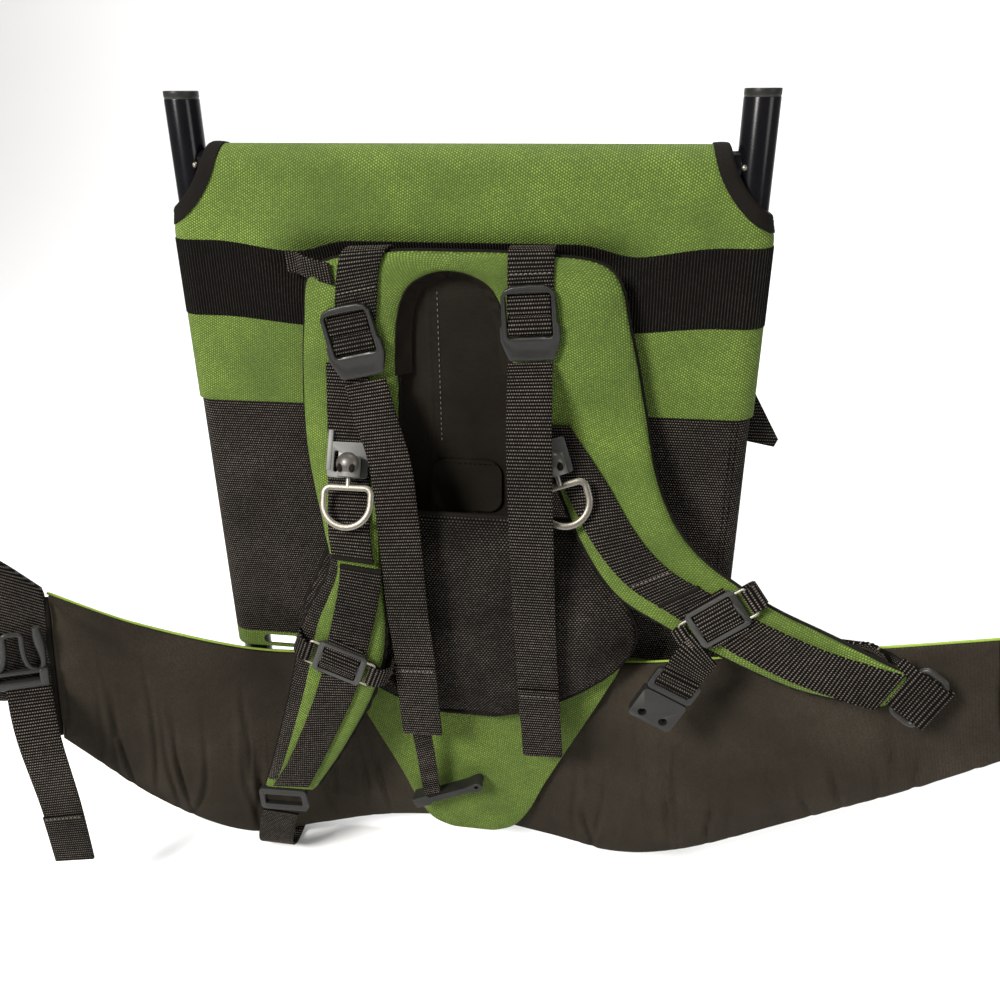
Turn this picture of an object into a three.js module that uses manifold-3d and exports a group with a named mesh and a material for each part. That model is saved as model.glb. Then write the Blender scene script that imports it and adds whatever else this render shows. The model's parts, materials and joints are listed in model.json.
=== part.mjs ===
// Frame backpack harness: a tube frame in a cloth sleeve, with padded shoulder straps and a hip belt.
// Millimetres, +Z up. The wearer's side faces -Y, and X runs to the right as the wearer's side is seen.
import * as THREE from 'three';
import { mergeVertices } from 'three/addons/utils/BufferGeometryUtils.js';
import Module from 'manifold-3d';

const wasm = await Module();
wasm.setup();

// Driving dimensions. The working frame has z = 0 at the sleeve's top fold and y = 0 at its front face.
const GAP = 0.3;
const BACK_REST = { y: -39, z: -276 };
const TUBE = { x: 156.5, radius: 9.5, wall: 1.5, top: 24, bottom: -404 };
const CAP = { radius: 9.5, height: 4, plugRadius: 7.7, plugDepth: 12 };
const CROSSBAR = { radius: 8, topZ: -9.8, bottomZ: -386 };
const SLEEVE = { halfDepth: 12.5, wall: 1.5, seamZ: -146, meshBottomZ: -315, hemBottomZ: -327 };
const CORNER_CUT = { x: 170, half: 28, drop: 35, power: 1.5, tape: 7.5, tapeThickness: 1.2 };
const HEM_SLOT = { x: 133, z: -321, length: 25, height: 7 };
const BAND = { topZ: -49.5, bottomZ: -93, thickness: 1.5 };
const WEBBING = { width: 25, thickness: 1.5 };
const LOCK = {
  width: 32, height: 41, thickness: 3.5, windowWidth: 25, windowHeight: 22, windowRise: 4,
  bar: 3, corner: 6, lipRise: 12, lipTaper: 4,
};
const SWIVEL = {
  width: 24, height: 21, thickness: 2.2, corner: 2, slotWidth: 2.6, slotHeight: 12.6, slotEdge: 5,
  bossRadius: 6.5, bossHeight: 12, bossX: 3, bossY: -4.5, axisRise: 7.7,
};
const RING = {
  width: 31, height: 26, wire: 3, corner: 4, stemRadius: 1.5, stem: 12, headRadius: 3, headHeight: 2,
};
const SLIDER = { width: 31, height: 21, thickness: 3, slotWidth: 24, slotHeight: 5 };
const END_RING = { width: 33, height: 17, thickness: 4, slotWidth: 26, slotHeight: 8 };
const BELT = { shell: 1.6, shellRise: 0.6, shellGap: 0.5, steps: 13 };

const FINISH = {
  tube: { color: 0x0c0c0e, roughness: 0.18, metalness: 0.6 },
  plastic: { color: 0x2b2b2a, roughness: 0.55, metalness: 0 },
  green: { color: 0x4d7026, roughness: 0.85, metalness: 0 },
  mesh: { color: 0x1c1815, roughness: 0.95, metalness: 0 },
  webbing: { color: 0x231d19, roughness: 0.9, metalness: 0 },
  lining: { color: 0x24201c, roughness: 0.9, metalness: 0 },
  metal: { color: 0x8c887c, roughness: 0.4, metalness: 0.8 },
};

// The whole object hangs on the wearer's back, so the origin is the middle of the lumbar pad's face.
const harness = new THREE.Group();
const body = new THREE.Group();
body.position.set(0, -BACK_REST.y, -BACK_REST.z);
harness.add(body);

function addPiece(name, geometry, finish, matrix) {
  const mesh = new THREE.Mesh(geometry, new THREE.MeshStandardMaterial(FINISH[finish]));
  mesh.name = name;
  if (matrix) {
    mesh.applyMatrix4(matrix);
  }
  body.add(mesh);
}

// Booleans between closed geometries.
function toSolid(geometry) {
  const bare = geometry.clone();
  bare.deleteAttribute('normal');
  bare.deleteAttribute('uv');
  const merged = mergeVertices(bare, 1e-4);
  return new wasm.Manifold(new wasm.Mesh({
    numProp: 3,
    vertProperties: new Float32Array(merged.attributes.position.array),
    triVerts: new Uint32Array(merged.index.array),
  }));
}

function toGeometry(solid) {
  const mesh = solid.getMesh();
  const geometry = new THREE.BufferGeometry();
  geometry.setAttribute('position', new THREE.BufferAttribute(new Float32Array(mesh.vertProperties), 3));
  geometry.setIndex(new THREE.BufferAttribute(new Uint32Array(mesh.triVerts), 1));
  return geometry;
}

function rowsOf(columns, values) {
  return values.map((row) => Object.fromEntries(columns.map((column, i) => [column, row[i]])));
}

// A closed skin through rings of points, with a flat cap at each end.
function loft(rings) {
  const count = rings[0].length;
  const points = rings.flat();
  const triangles = [];
  for (let r = 0; r + 1 < rings.length; r += 1) {
    for (let i = 0; i < count; i += 1) {
      const a = r * count + i;
      const b = r * count + (i + 1) % count;
      triangles.push([a, b, b + count], [a, b + count, a + count]);
    }
  }
  const last = (rings.length - 1) * count;
  for (let i = 1; i + 1 < count; i += 1) {
    triangles.push([0, i + 1, i], [last, last + i, last + i + 1]);
  }
  const volume = triangles.reduce((sum, [a, b, c]) => {
    const normal = new THREE.Vector3().crossVectors(points[b], points[c]);
    return sum + points[a].dot(normal);
  }, 0);
  const facing = volume > 0 ? triangles : triangles.map(([a, b, c]) => [a, c, b]);
  const geometry = new THREE.BufferGeometry().setFromPoints(points);
  geometry.setIndex(facing.flat());
  return geometry;
}

// A padded band between two edges. Each row gives one end of the section on either edge.
class PaddedBand {
  constructor(rows) {
    const curve = (pick) => new THREE.CatmullRomCurve3(rows.map(pick), false, 'catmullrom', 0.5);
    this.outer = curve((row) => new THREE.Vector3(row.outerX, row.outerY ?? row.y, row.outerZ));
    this.inner = curve((row) => new THREE.Vector3(row.innerX, row.innerY ?? row.y, row.innerZ));
    this.depth = curve((row) => new THREE.Vector3(row.thick, 0, 0));
    this.last = rows.length - 1;
  }

  // The section's frame at a row number, which may lie between two rows.
  frame(row) {
    const t = row / this.last;
    const step = 0.2 / this.last;
    const middle = (at) => this.outer.getPoint(at).add(this.inner.getPoint(at)).multiplyScalar(0.5);
    const edge = this.inner.getPoint(t).sub(this.outer.getPoint(t));
    const ahead = middle(Math.min(1, t + step)).sub(middle(Math.max(0, t - step)));
    const across = edge.clone().normalize();
    const normal = new THREE.Vector3().crossVectors(across, ahead).normalize();
    if (normal.y > 0) {
      normal.negate();
    }
    const along = new THREE.Vector3().crossVectors(normal, across);
    const half = edge.length() / 2;
    const thick = this.depth.getPoint(t).x;
    return { centre: middle(t), across, along, normal, half, thick };
  }

  pad(from, to, steps, sides, squareness) {
    const power = (value) => Math.sign(value) * Math.abs(value) ** squareness;
    const rings = [];
    for (let s = 0; s <= steps; s += 1) {
      const { centre, across, normal, half, thick } = this.frame(from + (to - from) * s / steps);
      const ring = [];
      for (let i = 0; i < sides; i += 1) {
        const angle = (i + 0.5) / sides * 2 * Math.PI;
        ring.push(centre.clone()
          .addScaledVector(across, half * power(Math.cos(angle)))
          .addScaledVector(normal, thick / 2 * power(Math.sin(angle))));
      }
      rings.push(ring);
    }
    return loft(rings);
  }

  // Where webbing or a buckle lies on the band's face, shifted across it by a share of its half width.
  seat(row, lift, shift = 0) {
    const frame = this.frame(row);
    frame.centre
      .addScaledVector(frame.across, shift * frame.half)
      .addScaledVector(frame.normal, frame.thick / 2 + lift);
    return frame;
  }
}

function flatRing({ centre, across, normal }, width, thickness) {
  return [[-1, 0], [1, 0], [1, 1], [-1, 1]].map(([side, face]) => centre.clone()
    .addScaledVector(across, side * width / 2)
    .addScaledVector(normal, face * thickness));
}

// Webbing sewn along a padded band, shift being its place across the band at the start and the end.
function webbingOn(band, from, to, steps, lift, shiftFrom = 0, shiftTo = 0) {
  const rings = [];
  for (let s = 0; s <= steps; s += 1) {
    const share = s / steps;
    const seat = band.seat(from + (to - from) * share, lift, shiftFrom + (shiftTo - shiftFrom) * share);
    rings.push(flatRing(seat, WEBBING.width, WEBBING.thickness));
  }
  return loft(rings);
}

// Webbing that hangs free. Lean tips its width in the XZ plane and turn swings it towards +Y, in degrees.
function hangingWebbing(rows, width, stepsPerRow) {
  const places = rows.map((row) => new THREE.Vector3(row.x, row.y, row.z));
  const angles = rows.map((row) => new THREE.Vector3(row.lean, row.turn, 0));
  const route = new THREE.CatmullRomCurve3(places, false, 'catmullrom', 0.5);
  const twist = new THREE.CatmullRomCurve3(angles, false, 'catmullrom', 0.5);
  const steps = (rows.length - 1) * stepsPerRow;
  const rings = [];
  for (let s = 0; s <= steps; s += 1) {
    const t = s / steps;
    const turned = twist.getPoint(t).multiplyScalar(Math.PI / 180);
    const across = new THREE.Vector3(Math.cos(turned.x), 0, Math.sin(turned.x))
      .multiplyScalar(Math.cos(turned.y))
      .setY(Math.sin(turned.y));
    const normal = new THREE.Vector3().crossVectors(route.getTangent(t), across).normalize();
    rings.push(flatRing({ centre: route.getPoint(t), across, normal }, width, WEBBING.thickness));
  }
  return loft(rings);
}

const FREE_COLUMNS = ['x', 'y', 'z', 'lean', 'turn'];

// Outlines for moulded plates: a rectangle with rounded corners, centred on a point.
function roundedRect(width, height, radius, x = 0, y = 0, Path = THREE.Shape) {
  const path = new Path();
  const [left, right, low, high] = [x - width / 2, x + width / 2, y - height / 2, y + height / 2];
  path.moveTo(left + radius, low);
  path.lineTo(right - radius, low);
  path.absarc(right - radius, low + radius, radius, -Math.PI / 2, 0);
  path.lineTo(right, high - radius);
  path.absarc(right - radius, high - radius, radius, 0, Math.PI / 2);
  path.lineTo(left + radius, high);
  path.absarc(left + radius, high - radius, radius, Math.PI / 2, Math.PI);
  path.lineTo(left, low + radius);
  path.absarc(left + radius, low + radius, radius, Math.PI, Math.PI * 1.5);
  return path;
}

function plate(shape, thickness, curveSegments = 2) {
  return new THREE.ExtrudeGeometry(shape, { depth: thickness, bevelEnabled: false, curveSegments });
}

// Stands a plate up in the XZ plane with its back at y and its face towards -Y.
function upright(x, y, z, tiltDegrees = 0) {
  const tilt = THREE.MathUtils.degToRad(tiltDegrees);
  return new THREE.Matrix4().makeTranslation(x, y, z)
    .multiply(new THREE.Matrix4().makeRotationX(Math.PI / 2))
    .multiply(new THREE.Matrix4().makeRotationZ(tilt));
}

function seatedMatrix({ centre, across, along, normal }) {
  return new THREE.Matrix4().makeBasis(across, along, normal).setPosition(centre);
}

// Round stock about the Z axis.
function upTube(profile, segments) {
  const points = profile.map(([radius, z]) => new THREE.Vector2(radius, z));
  return new THREE.LatheGeometry(points, segments).rotateX(Math.PI / 2);
}

// Frame tubes with their end caps, and the two crossbars between them.
function frameTubes() {
  const { radius, wall, top, bottom, x } = TUBE;
  const bore = radius - wall;
  const ring = [[bore, bottom], [radius, bottom], [radius, top], [bore, top], [bore, bottom]];
  const { plugRadius, plugDepth, height } = CAP;
  const cap = [
    [0, -plugDepth], [plugRadius, -plugDepth], [plugRadius, GAP], [CAP.radius, GAP],
    [CAP.radius, height - 1], [CAP.radius - 1, height], [0, height],
  ];
  for (const [side, sign] of [['left', -1], ['right', 1]]) {
    const at = new THREE.Matrix4().makeTranslation(sign * x, SLEEVE.halfDepth, 0);
    addPiece(`tube_${side}`, upTube(ring, 16), 'tube', at);
    const capTop = new THREE.Matrix4().makeTranslation(sign * x, SLEEVE.halfDepth, top);
    addPiece(`cap_${side}`, upTube(cap, 16), 'plastic', capTop);
    const capFoot = new THREE.Matrix4().makeTranslation(sign * x, SLEEVE.halfDepth, bottom)
      .multiply(new THREE.Matrix4().makeRotationX(Math.PI));
    addPiece(`foot_cap_${side}`, upTube(cap, 16), 'plastic', capFoot);
  }
}

function crossbars() {
  const length = 2 * TUBE.x;
  for (const [name, z] of [['crossbar_top', CROSSBAR.topZ], ['crossbar_bottom', CROSSBAR.bottomZ]]) {
    const bar = new THREE.CylinderGeometry(CROSSBAR.radius, CROSSBAR.radius, length, 12);
    bar.rotateZ(Math.PI / 2).translate(0, SLEEVE.halfDepth, z);
    let solid = toSolid(bar);
    for (const x of [-TUBE.x, TUBE.x]) {
      const mouth = new THREE.CylinderGeometry(TUBE.radius + GAP, TUBE.radius + GAP, 60, 16);
      mouth.rotateX(Math.PI / 2).translate(x, SLEEVE.halfDepth, z);
      solid = solid.subtract(toSolid(mouth));
    }
    addPiece(name, toGeometry(solid), 'tube');
  }
}

// The sleeve's plan is a slot shape round both tubes, grown by an offset from its outer face.
function slotOutline(offset, Path = THREE.Shape) {
  const radius = SLEEVE.halfDepth + offset;
  const path = new Path();
  path.moveTo(-TUBE.x, SLEEVE.halfDepth - radius);
  path.lineTo(TUBE.x, SLEEVE.halfDepth - radius);
  path.absarc(TUBE.x, SLEEVE.halfDepth, radius, -Math.PI / 2, Math.PI / 2);
  path.lineTo(-TUBE.x, SLEEVE.halfDepth + radius);
  path.absarc(-TUBE.x, SLEEVE.halfDepth, radius, Math.PI / 2, Math.PI * 1.5);
  return path;
}

function slotRing(inner, outer, low, high) {
  const shape = slotOutline(outer);
  shape.holes.push(slotOutline(inner, THREE.Path));
  return plate(shape, high - low, 8).translate(0, 0, low);
}

// The sleeve's body closed over the top crossbar by a round fold.
function foldedBody(offset, low) {
  const radius = SLEEVE.halfDepth + offset;
  const column = plate(slotOutline(offset), offset - low, 8).translate(0, 0, low);
  const side = new THREE.Shape();
  side.moveTo(SLEEVE.halfDepth - radius, low - 1);
  side.lineTo(SLEEVE.halfDepth + radius, low - 1);
  side.lineTo(SLEEVE.halfDepth + radius, -SLEEVE.halfDepth);
  side.absarc(SLEEVE.halfDepth, -SLEEVE.halfDepth, radius, 0, Math.PI);
  const length = 2 * (TUBE.x + radius) + 2;
  const fold = plate(side, length, 8);
  const axes = new THREE.Matrix4().makeBasis(
    new THREE.Vector3(0, 1, 0), new THREE.Vector3(0, 0, 1), new THREE.Vector3(1, 0, 0));
  fold.applyMatrix4(axes.setPosition(-length / 2, 0, 0));
  return toSolid(column).intersect(toSolid(fold));
}

// A flattened oval through both walls, larger than the cut-out by the given width.
function cornerOval(sign, extra) {
  const bend = (wave) => Math.sign(wave) * Math.abs(wave) ** (2 / CORNER_CUT.power);
  const outline = new THREE.Shape(Array.from({ length: 28 }, (_, i) => {
    const angle = (i / 28) * 2 * Math.PI;
    return new THREE.Vector2(
      (CORNER_CUT.half + extra) * bend(Math.cos(angle)), (CORNER_CUT.drop + extra) * bend(Math.sin(angle)));
  }));
  return toSolid(plate(outline, 60, 1).applyMatrix4(upright(sign * CORNER_CUT.x, 45, 0)));
}

function sleeve() {
  let cloth = foldedBody(0, SLEEVE.seamZ + GAP).subtract(foldedBody(-SLEEVE.wall, SLEEVE.seamZ - 1));
  const tapeShell = foldedBody(GAP + CORNER_CUT.tapeThickness, -80).subtract(foldedBody(GAP, -81));
  for (const [side, sign] of [['left', -1], ['right', 1]]) {
    cloth = cloth.subtract(cornerOval(sign, 0));
    const tape = tapeShell
      .intersect(cornerOval(sign, CORNER_CUT.tape))
      .subtract(cornerOval(sign, 0));
    addPiece(`binding_${side}`, toGeometry(tape), 'webbing');
  }
  addPiece('sleeve_green', toGeometry(cloth), 'green');
  addPiece('sleeve_mesh', slotRing(-SLEEVE.wall, 0, SLEEVE.meshBottomZ, SLEEVE.seamZ), 'mesh');
  const hem = slotRing(-SLEEVE.wall, 0, SLEEVE.hemBottomZ, SLEEVE.meshBottomZ - GAP);
  let hemSolid = toSolid(hem);
  for (const sign of [-1, 1]) {
    const slot = plate(roundedRect(HEM_SLOT.length, HEM_SLOT.height, HEM_SLOT.height / 2 - 0.1), 60, 2);
    slot.applyMatrix4(upright(sign * HEM_SLOT.x, 45, HEM_SLOT.z));
    hemSolid = hemSolid.subtract(toSolid(slot));
  }
  addPiece('sleeve_hem', toGeometry(hemSolid), 'green');
  addPiece('panel_band', slotRing(GAP, GAP + BAND.thickness, BAND.bottomZ, BAND.topZ), 'webbing');
}

// The tip of a lashing strap that shows behind the right edge.
const SIDE_TAB = rowsOf(['x', 'z'], [
  [150, -99], [189, -166], [187, -171], [165, -167], [158, -144], [130, -108],
]);

function sideTab() {
  const shape = new THREE.Shape(SIDE_TAB.map(({ x, z }) => new THREE.Vector2(x, z)));
  const back = 2 * SLEEVE.halfDepth + GAP + WEBBING.thickness;
  addPiece('side_tab', plate(shape, WEBBING.thickness), 'webbing', upright(0, back, 0));
}

// Shoulder harness in one padded piece, from the left strap's end over the yoke to the right strap's end.
const HARNESS_COLUMNS = ['outerX', 'outerZ', 'innerX', 'innerZ', 'y', 'thick'];
const HARNESS_ROWS = rowsOf(HARNESS_COLUMNS, [
  [-130, -398, -96, -397, -61, 7],
  [-119, -366, -71, -356, -60, 11],
  [-104, -315, -49, -311, -57, 13],
  [-91, -266, -41, -273, -55, 13],
  [-74, -232, -42, -236, -50, 12],
  [-77, -208, -43, -208, -44, 12],
  [-84, -190, -40, -190, -33, 12],
  [-91, -168, -37, -168, -20, 13],
  [-93, -138, -36, -140, -12.5, 13],
  [-89, -95, -34, -95, -11.5, 13],
  [-80, -62, -28, -74, -11.5, 13],
  [-40, -53, -17, -65, -11.5, 12],
  [0, -52, -4, -62, -11.5, 12],
  [42, -53, 10, -65, -11.5, 12],
  [84, -60, 21, -74, -11.5, 13],
  [97, -95, 28, -95, -11.5, 13],
  [107, -138, 36, -140, -12.5, 13],
  [115, -172, 58, -178, -24, 13],
  [126, -193, 75, -208, -42, 13],
  [142, -209, 96, -234, -53, 13],
  [161, -220, 122, -247, -61, 13],
  [182, -229, 153, -258, -70, 12],
  [210, -237, 194, -270, -80, 11],
  [233, -242, 223, -268, -92, 9],
  [248, -245, 238, -265, -99, 7],
]);
const HARNESS = new PaddedBand(HARNESS_ROWS);
const LEFT_END = 0;
const RIGHT_END = HARNESS_ROWS.length - 1;

function harnessPad() {
  addPiece('harness_pad', HARNESS.pad(LEFT_END, RIGHT_END, 48, 10, 0.6), 'green');
}

// Webbing along the shoulder straps. The left strap's upper stretch ends in a fold above the lower one.
const LASH_LEFT = { from: 8.55, to: 4.35 };
const STRAP_LEFT = { from: 4.2, to: 0.2 };
const STRAP_RIGHT = { from: 16.2, turnsIn: 19.6, to: 23.8, shift: 0.62 };

function strapWebbing() {
  addPiece('lash_webbing_left', webbingOn(HARNESS, LASH_LEFT.from, LASH_LEFT.to, 14, GAP), 'webbing');
  addPiece('strap_webbing_left', webbingOn(HARNESS, STRAP_LEFT.from, STRAP_LEFT.to, 14, GAP, 0.3, 0), 'webbing');
  const { from, turnsIn, to, shift } = STRAP_RIGHT;
  const upper = webbingOn(HARNESS, from, turnsIn, 12, 2 * GAP, shift, 0);
  addPiece('lash_webbing_right', upper, 'webbing');
  addPiece('strap_webbing_right', webbingOn(HARNESS, turnsIn + 0.05, to, 14, GAP), 'webbing');
}

// Ladder-lock buckles with the lifter loops above them and the loose tails below.
const LOCKS = rowsOf(['side', 'x', 'z', 'tilt'], [['left', -58, -101, 13], ['right', 42, -88, 4]]);
const LOCK_BACK_Y = -20.4;

function lockOutline() {
  const { width, height, windowWidth, windowHeight, windowRise, bar, corner, lipRise, lipTaper } = LOCK;
  const [side, top] = [width / 2, height / 2];
  const shape = new THREE.Shape();
  shape.moveTo(-side + lipTaper, -top);
  shape.lineTo(side - lipTaper, -top);
  shape.lineTo(side, -top + lipRise);
  shape.lineTo(side, top - corner);
  shape.absarc(side - corner, top - corner, corner, 0, Math.PI / 2);
  shape.lineTo(-side + corner, top);
  shape.absarc(-side + corner, top - corner, corner, Math.PI / 2, Math.PI);
  shape.lineTo(-side, -top + lipRise);
  const half = windowHeight / 2;
  for (const y of [windowRise + half / 2, windowRise - half / 2]) {
    shape.holes.push(roundedRect(windowWidth, half - bar, 1, 0, y, THREE.Path));
  }
  return shape;
}

function ladderLocks() {
  for (const { side, x, z, tilt } of LOCKS) {
    const matrix = upright(x, LOCK_BACK_Y, z, tilt);
    addPiece(`ladder_lock_${side}`, plate(lockOutline(), LOCK.thickness), 'plastic', matrix);
  }
}

const LIFTER_ROWS = {
  left: rowsOf(FREE_COLUMNS, [
    [-48, -0.5, -47.6, 0, 0], [-49, -9, -46.2, 3, 0], [-51, -17.5, -50, 6, 0],
    [-54, -18.8, -66, 12, 0], [-58, -18.8, -101, 13, 0],
  ]),
  right: rowsOf(FREE_COLUMNS, [
    [42, -0.5, -47.6, 0, 0], [42, -9, -46.2, 1, 0], [42, -17.5, -50, 2, 0],
    [42, -18.8, -66, 4, 0], [42, -18.8, -90, 4, 0],
  ]),
};
const TAIL_ROWS = {
  left: rowsOf(FREE_COLUMNS, [
    [-52.5, -21.5, -124, 13, 0], [-46, -29, -141, 10, 0], [-35.5, -41, -166, 8, 0], [-31, -49, -192, 6, 0],
    [-28, -54, -222, 5, 0], [-26, -56, -255, 4, 0], [-24, -53, -290, 3, 0], [-22, -49, -351, 2, 0],
  ]),
  right: rowsOf(FREE_COLUMNS, [
    [42.5, -21.5, -110, 4, 0], [43.5, -33, -124, 3, 0], [45, -48, -150, 2, 0], [47, -54, -190, 1, 0],
    [48.5, -52, -232, 1, 0], [50.5, -47, -285, 1, 0], [55.4, -41.5, -367, 2, 0],
  ]),
};

function liftersAndTails() {
  for (const { side } of LOCKS) {
    addPiece(`lifter_loop_${side}`, hangingWebbing(LIFTER_ROWS[side], WEBBING.width, 3), 'webbing');
    addPiece(`tail_${side}`, hangingWebbing(TAIL_ROWS[side], WEBBING.width, 3), 'webbing');
  }
}

// Swivel brackets on the strap webbing, each with a D-ring whose stem turns in the bracket's boss.
const SWIVELS = rowsOf(['side', 'row', 'shift', 'lift', 'lean'], [
  ['left', 6.75, 0.02, 1.5, 0],
  ['right', 16.7, 0.9, 1.5, 18],
]);

// A bracket stands upright on its webbing, or leans by some degrees with its top towards -X.
function swivelSeat({ row, shift, lift, lean }) {
  const seat = HARNESS.seat(row, GAP + WEBBING.thickness + lift, shift);
  const tilt = THREE.MathUtils.degToRad(lean);
  const up = new THREE.Vector3(-Math.sin(tilt), 0, Math.cos(tilt));
  seat.along = up.addScaledVector(seat.normal, -up.dot(seat.normal)).normalize();
  seat.across = new THREE.Vector3().crossVectors(seat.along, seat.normal);
  return seat;
}

// The boss is a half cylinder on the plate, with a chamber for the ring's head and a bore for its stem.
function swivelBracket() {
  const { width, height, thickness, corner, slotWidth, slotHeight, slotEdge } = SWIVEL;
  const { bossRadius, bossHeight, bossX, bossY, axisRise } = SWIVEL;
  const shape = roundedRect(width, height, corner);
  shape.holes.push(roundedRect(slotWidth, slotHeight, 1.2, -width / 2 + slotEdge, -1, THREE.Path));
  const drum = (radius, length, sides, y) => (
    toSolid(new THREE.CylinderGeometry(radius, radius, length, sides).translate(bossX, y, axisRise)));
  const front = new THREE.BoxGeometry(4 * bossRadius, 3 * bossHeight, 4 * bossRadius);
  front.translate(bossX, 0, 2 * bossRadius + thickness / 2);
  const bore = drum(RING.stemRadius + GAP, bossHeight, 12, bossY - bossHeight / 2);
  const chamber = drum(RING.headRadius + GAP, RING.headHeight + 2 * GAP, 12, bossY);
  return toGeometry(toSolid(plate(shape, thickness))
    .add(drum(bossRadius, bossHeight, 16, bossY).intersect(toSolid(front)))
    .subtract(bore)
    .subtract(chamber));
}

// The ring's own frame has the stem's axis on Y, and its origin where the head sits in the boss.
function dRing() {
  const { width, height, wire, corner, stemRadius, stem, headRadius, headHeight } = RING;
  const half = (width - wire) / 2;
  const deep = height - wire;
  const bow = deep - corner;
  const arc = (x, y, radiusX, radiusY, from, to, steps) => {
    const curve = new THREE.EllipseCurve(x, y, radiusX, radiusY, from, to, to < from);
    return curve.getPoints(steps).map((place) => new THREE.Vector3(place.x, place.y, 0));
  };
  const path = [
    ...arc(-half + corner, -corner, corner, corner, Math.PI / 2, Math.PI, 3),
    ...arc(0, -corner, half, bow, Math.PI, 2 * Math.PI, 12).slice(1, -1),
    ...arc(half - corner, -corner, corner, corner, 0, Math.PI / 2, 3),
  ];
  const loop = ringTube(path, wire / 2, 6).translate(0, -stem, 0);
  const post = new THREE.CylinderGeometry(stemRadius, stemRadius, stem, 12).translate(0, -stem / 2, 0);
  const head = new THREE.CylinderGeometry(headRadius, headRadius, headHeight, 12);
  return toGeometry(toSolid(loop).add(toSolid(post)).add(toSolid(head)));
}

// A closed tube round a flat loop of points that runs anticlockwise in the XY plane.
function ringTube(path, radius, sides) {
  const points = [];
  const triangles = [];
  const count = path.length;
  path.forEach((centre, i) => {
    const ahead = path[(i + 1) % count].clone().sub(path[(i + count - 1) % count]).normalize();
    const out = new THREE.Vector3(ahead.y, -ahead.x, 0);
    for (let s = 0; s < sides; s += 1) {
      const angle = s / sides * 2 * Math.PI;
      const place = centre.clone().addScaledVector(out, radius * Math.cos(angle));
      place.z += radius * Math.sin(angle);
      points.push(place);
      const next = (s + 1) % sides;
      const after = ((i + 1) % count) * sides;
      const here = i * sides;
      triangles.push(here + s, after + next, here + next);
      triangles.push(here + s, after + s, after + next);
    }
  });
  const geometry = new THREE.BufferGeometry().setFromPoints(points);
  geometry.setIndex(triangles);
  return geometry;
}

function swivels() {
  for (const swivel of SWIVELS) {
    const seat = seatedMatrix(swivelSeat(swivel));
    addPiece(`swivel_${swivel.side}`, swivelBracket(), 'metal', seat);
    const axis = new THREE.Matrix4().makeTranslation(SWIVEL.bossX, SWIVEL.bossY, SWIVEL.axisRise);
    addPiece(`d_ring_${swivel.side}`, dRing(), 'metal', seat.clone().multiply(axis));
  }
}

// Padded pieces that lie flat to the back: each row gives a height, half width and thickness.
function shieldBand(rows, middleX, y) {
  return new PaddedBand(rows.map(({ z, half, thick }) => (
    { outerX: middleX - half, outerZ: z, innerX: middleX + half, innerZ: z, y, thick })));
}

const SHIELD_COLUMNS = ['z', 'half', 'thick'];
const LUMBAR = { x: 5, padY: -31.6, flapY: -22.6 };
const LUMBAR_ROWS = rowsOf(SHIELD_COLUMNS, [
  [-201, 66, 4], [-206, 75, 9], [-224, 83, 14.2], [-250, 95, 14.8], [-274, 105, 14.8],
  [-296, 98, 13.5], [-318, 76, 11], [-336, 46, 7], [-345, 18, 4],
]);
const FLAP_ROWS = rowsOf(SHIELD_COLUMNS, [
  [-266, 92, 2.8], [-300, 98, 3], [-330, 87, 3], [-370, 68, 3],
  [-408, 50, 3], [-432, 40, 3], [-448, 29, 3], [-455, 14, 2.8],
]);

function lumbar() {
  const pad = shieldBand(LUMBAR_ROWS, LUMBAR.x, LUMBAR.padY);
  addPiece('lumbar_pad', pad.pad(0, LUMBAR_ROWS.length - 1, 16, 12, 0.55), 'mesh');
  const flap = shieldBand(FLAP_ROWS, LUMBAR.x, LUMBAR.flapY);
  addPiece('lumbar_flap', flap.pad(0, FLAP_ROWS.length - 1, 12, 8, 0.5), 'green');
}

// The black cloth in the yoke's opening: a backing sheet, a rounded flap on it and a small tab below.
const SPINE_SHEETS = rowsOf(['name', 'x', 'z', 'width', 'height', 'corner', 'y', 'thickness'], [
  ['spine_sheet', -4, -137, 78, 158, 6, -2.1, 2],
  ['spine_flap', 2.5, -193, 43, 34, 9, -4.4, 2],
  ['spine_tab', -3.5, -216.8, 26, 12, 2, -4.4, 1.6],
]);

function spineSheets() {
  for (const { name, x, z, width, height, corner, y, thickness } of SPINE_SHEETS) {
    addPiece(name, plate(roundedRect(width, height, corner), thickness), 'lining', upright(x, y, z));
  }
}

// Hip belt wings: a padded lining with a cloth shell behind it that rises above its top edge.
const BELT_COLUMNS = ['outerX', 'outerY', 'outerZ', 'innerX', 'innerY', 'innerZ', 'thick'];
const BELT_ROWS = {
  left: rowsOf(BELT_COLUMNS, [
    [-2, -9.8, -312, -2, -9.8, -453, 14], [-61, -9.8, -317, -61, -9.8, -460, 14],
    [-106, -11.2, -322, -110, -18, -467, 15], [-151, -27, -311, -159, -41, -459, 15],
    [-207, -50, -283, -210, -60, -418, 15], [-246, -74, -249, -256, -79, -353, 14],
  ]),
  right: rowsOf(BELT_COLUMNS, [
    [2, -9.8, -312, 2, -9.8, -453, 14], [60, -9.8, -312, 60, -9.8, -464, 14],
    [104, -11.2, -311, 107, -16, -468, 15], [150, -28, -293, 152, -38, -437, 15],
    [201, -54, -266, 213, -61, -382, 15], [248, -77, -242, 258, -84, -334, 14],
    [289, -92, -224, 303, -97, -293, 13],
  ]),
};
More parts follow.
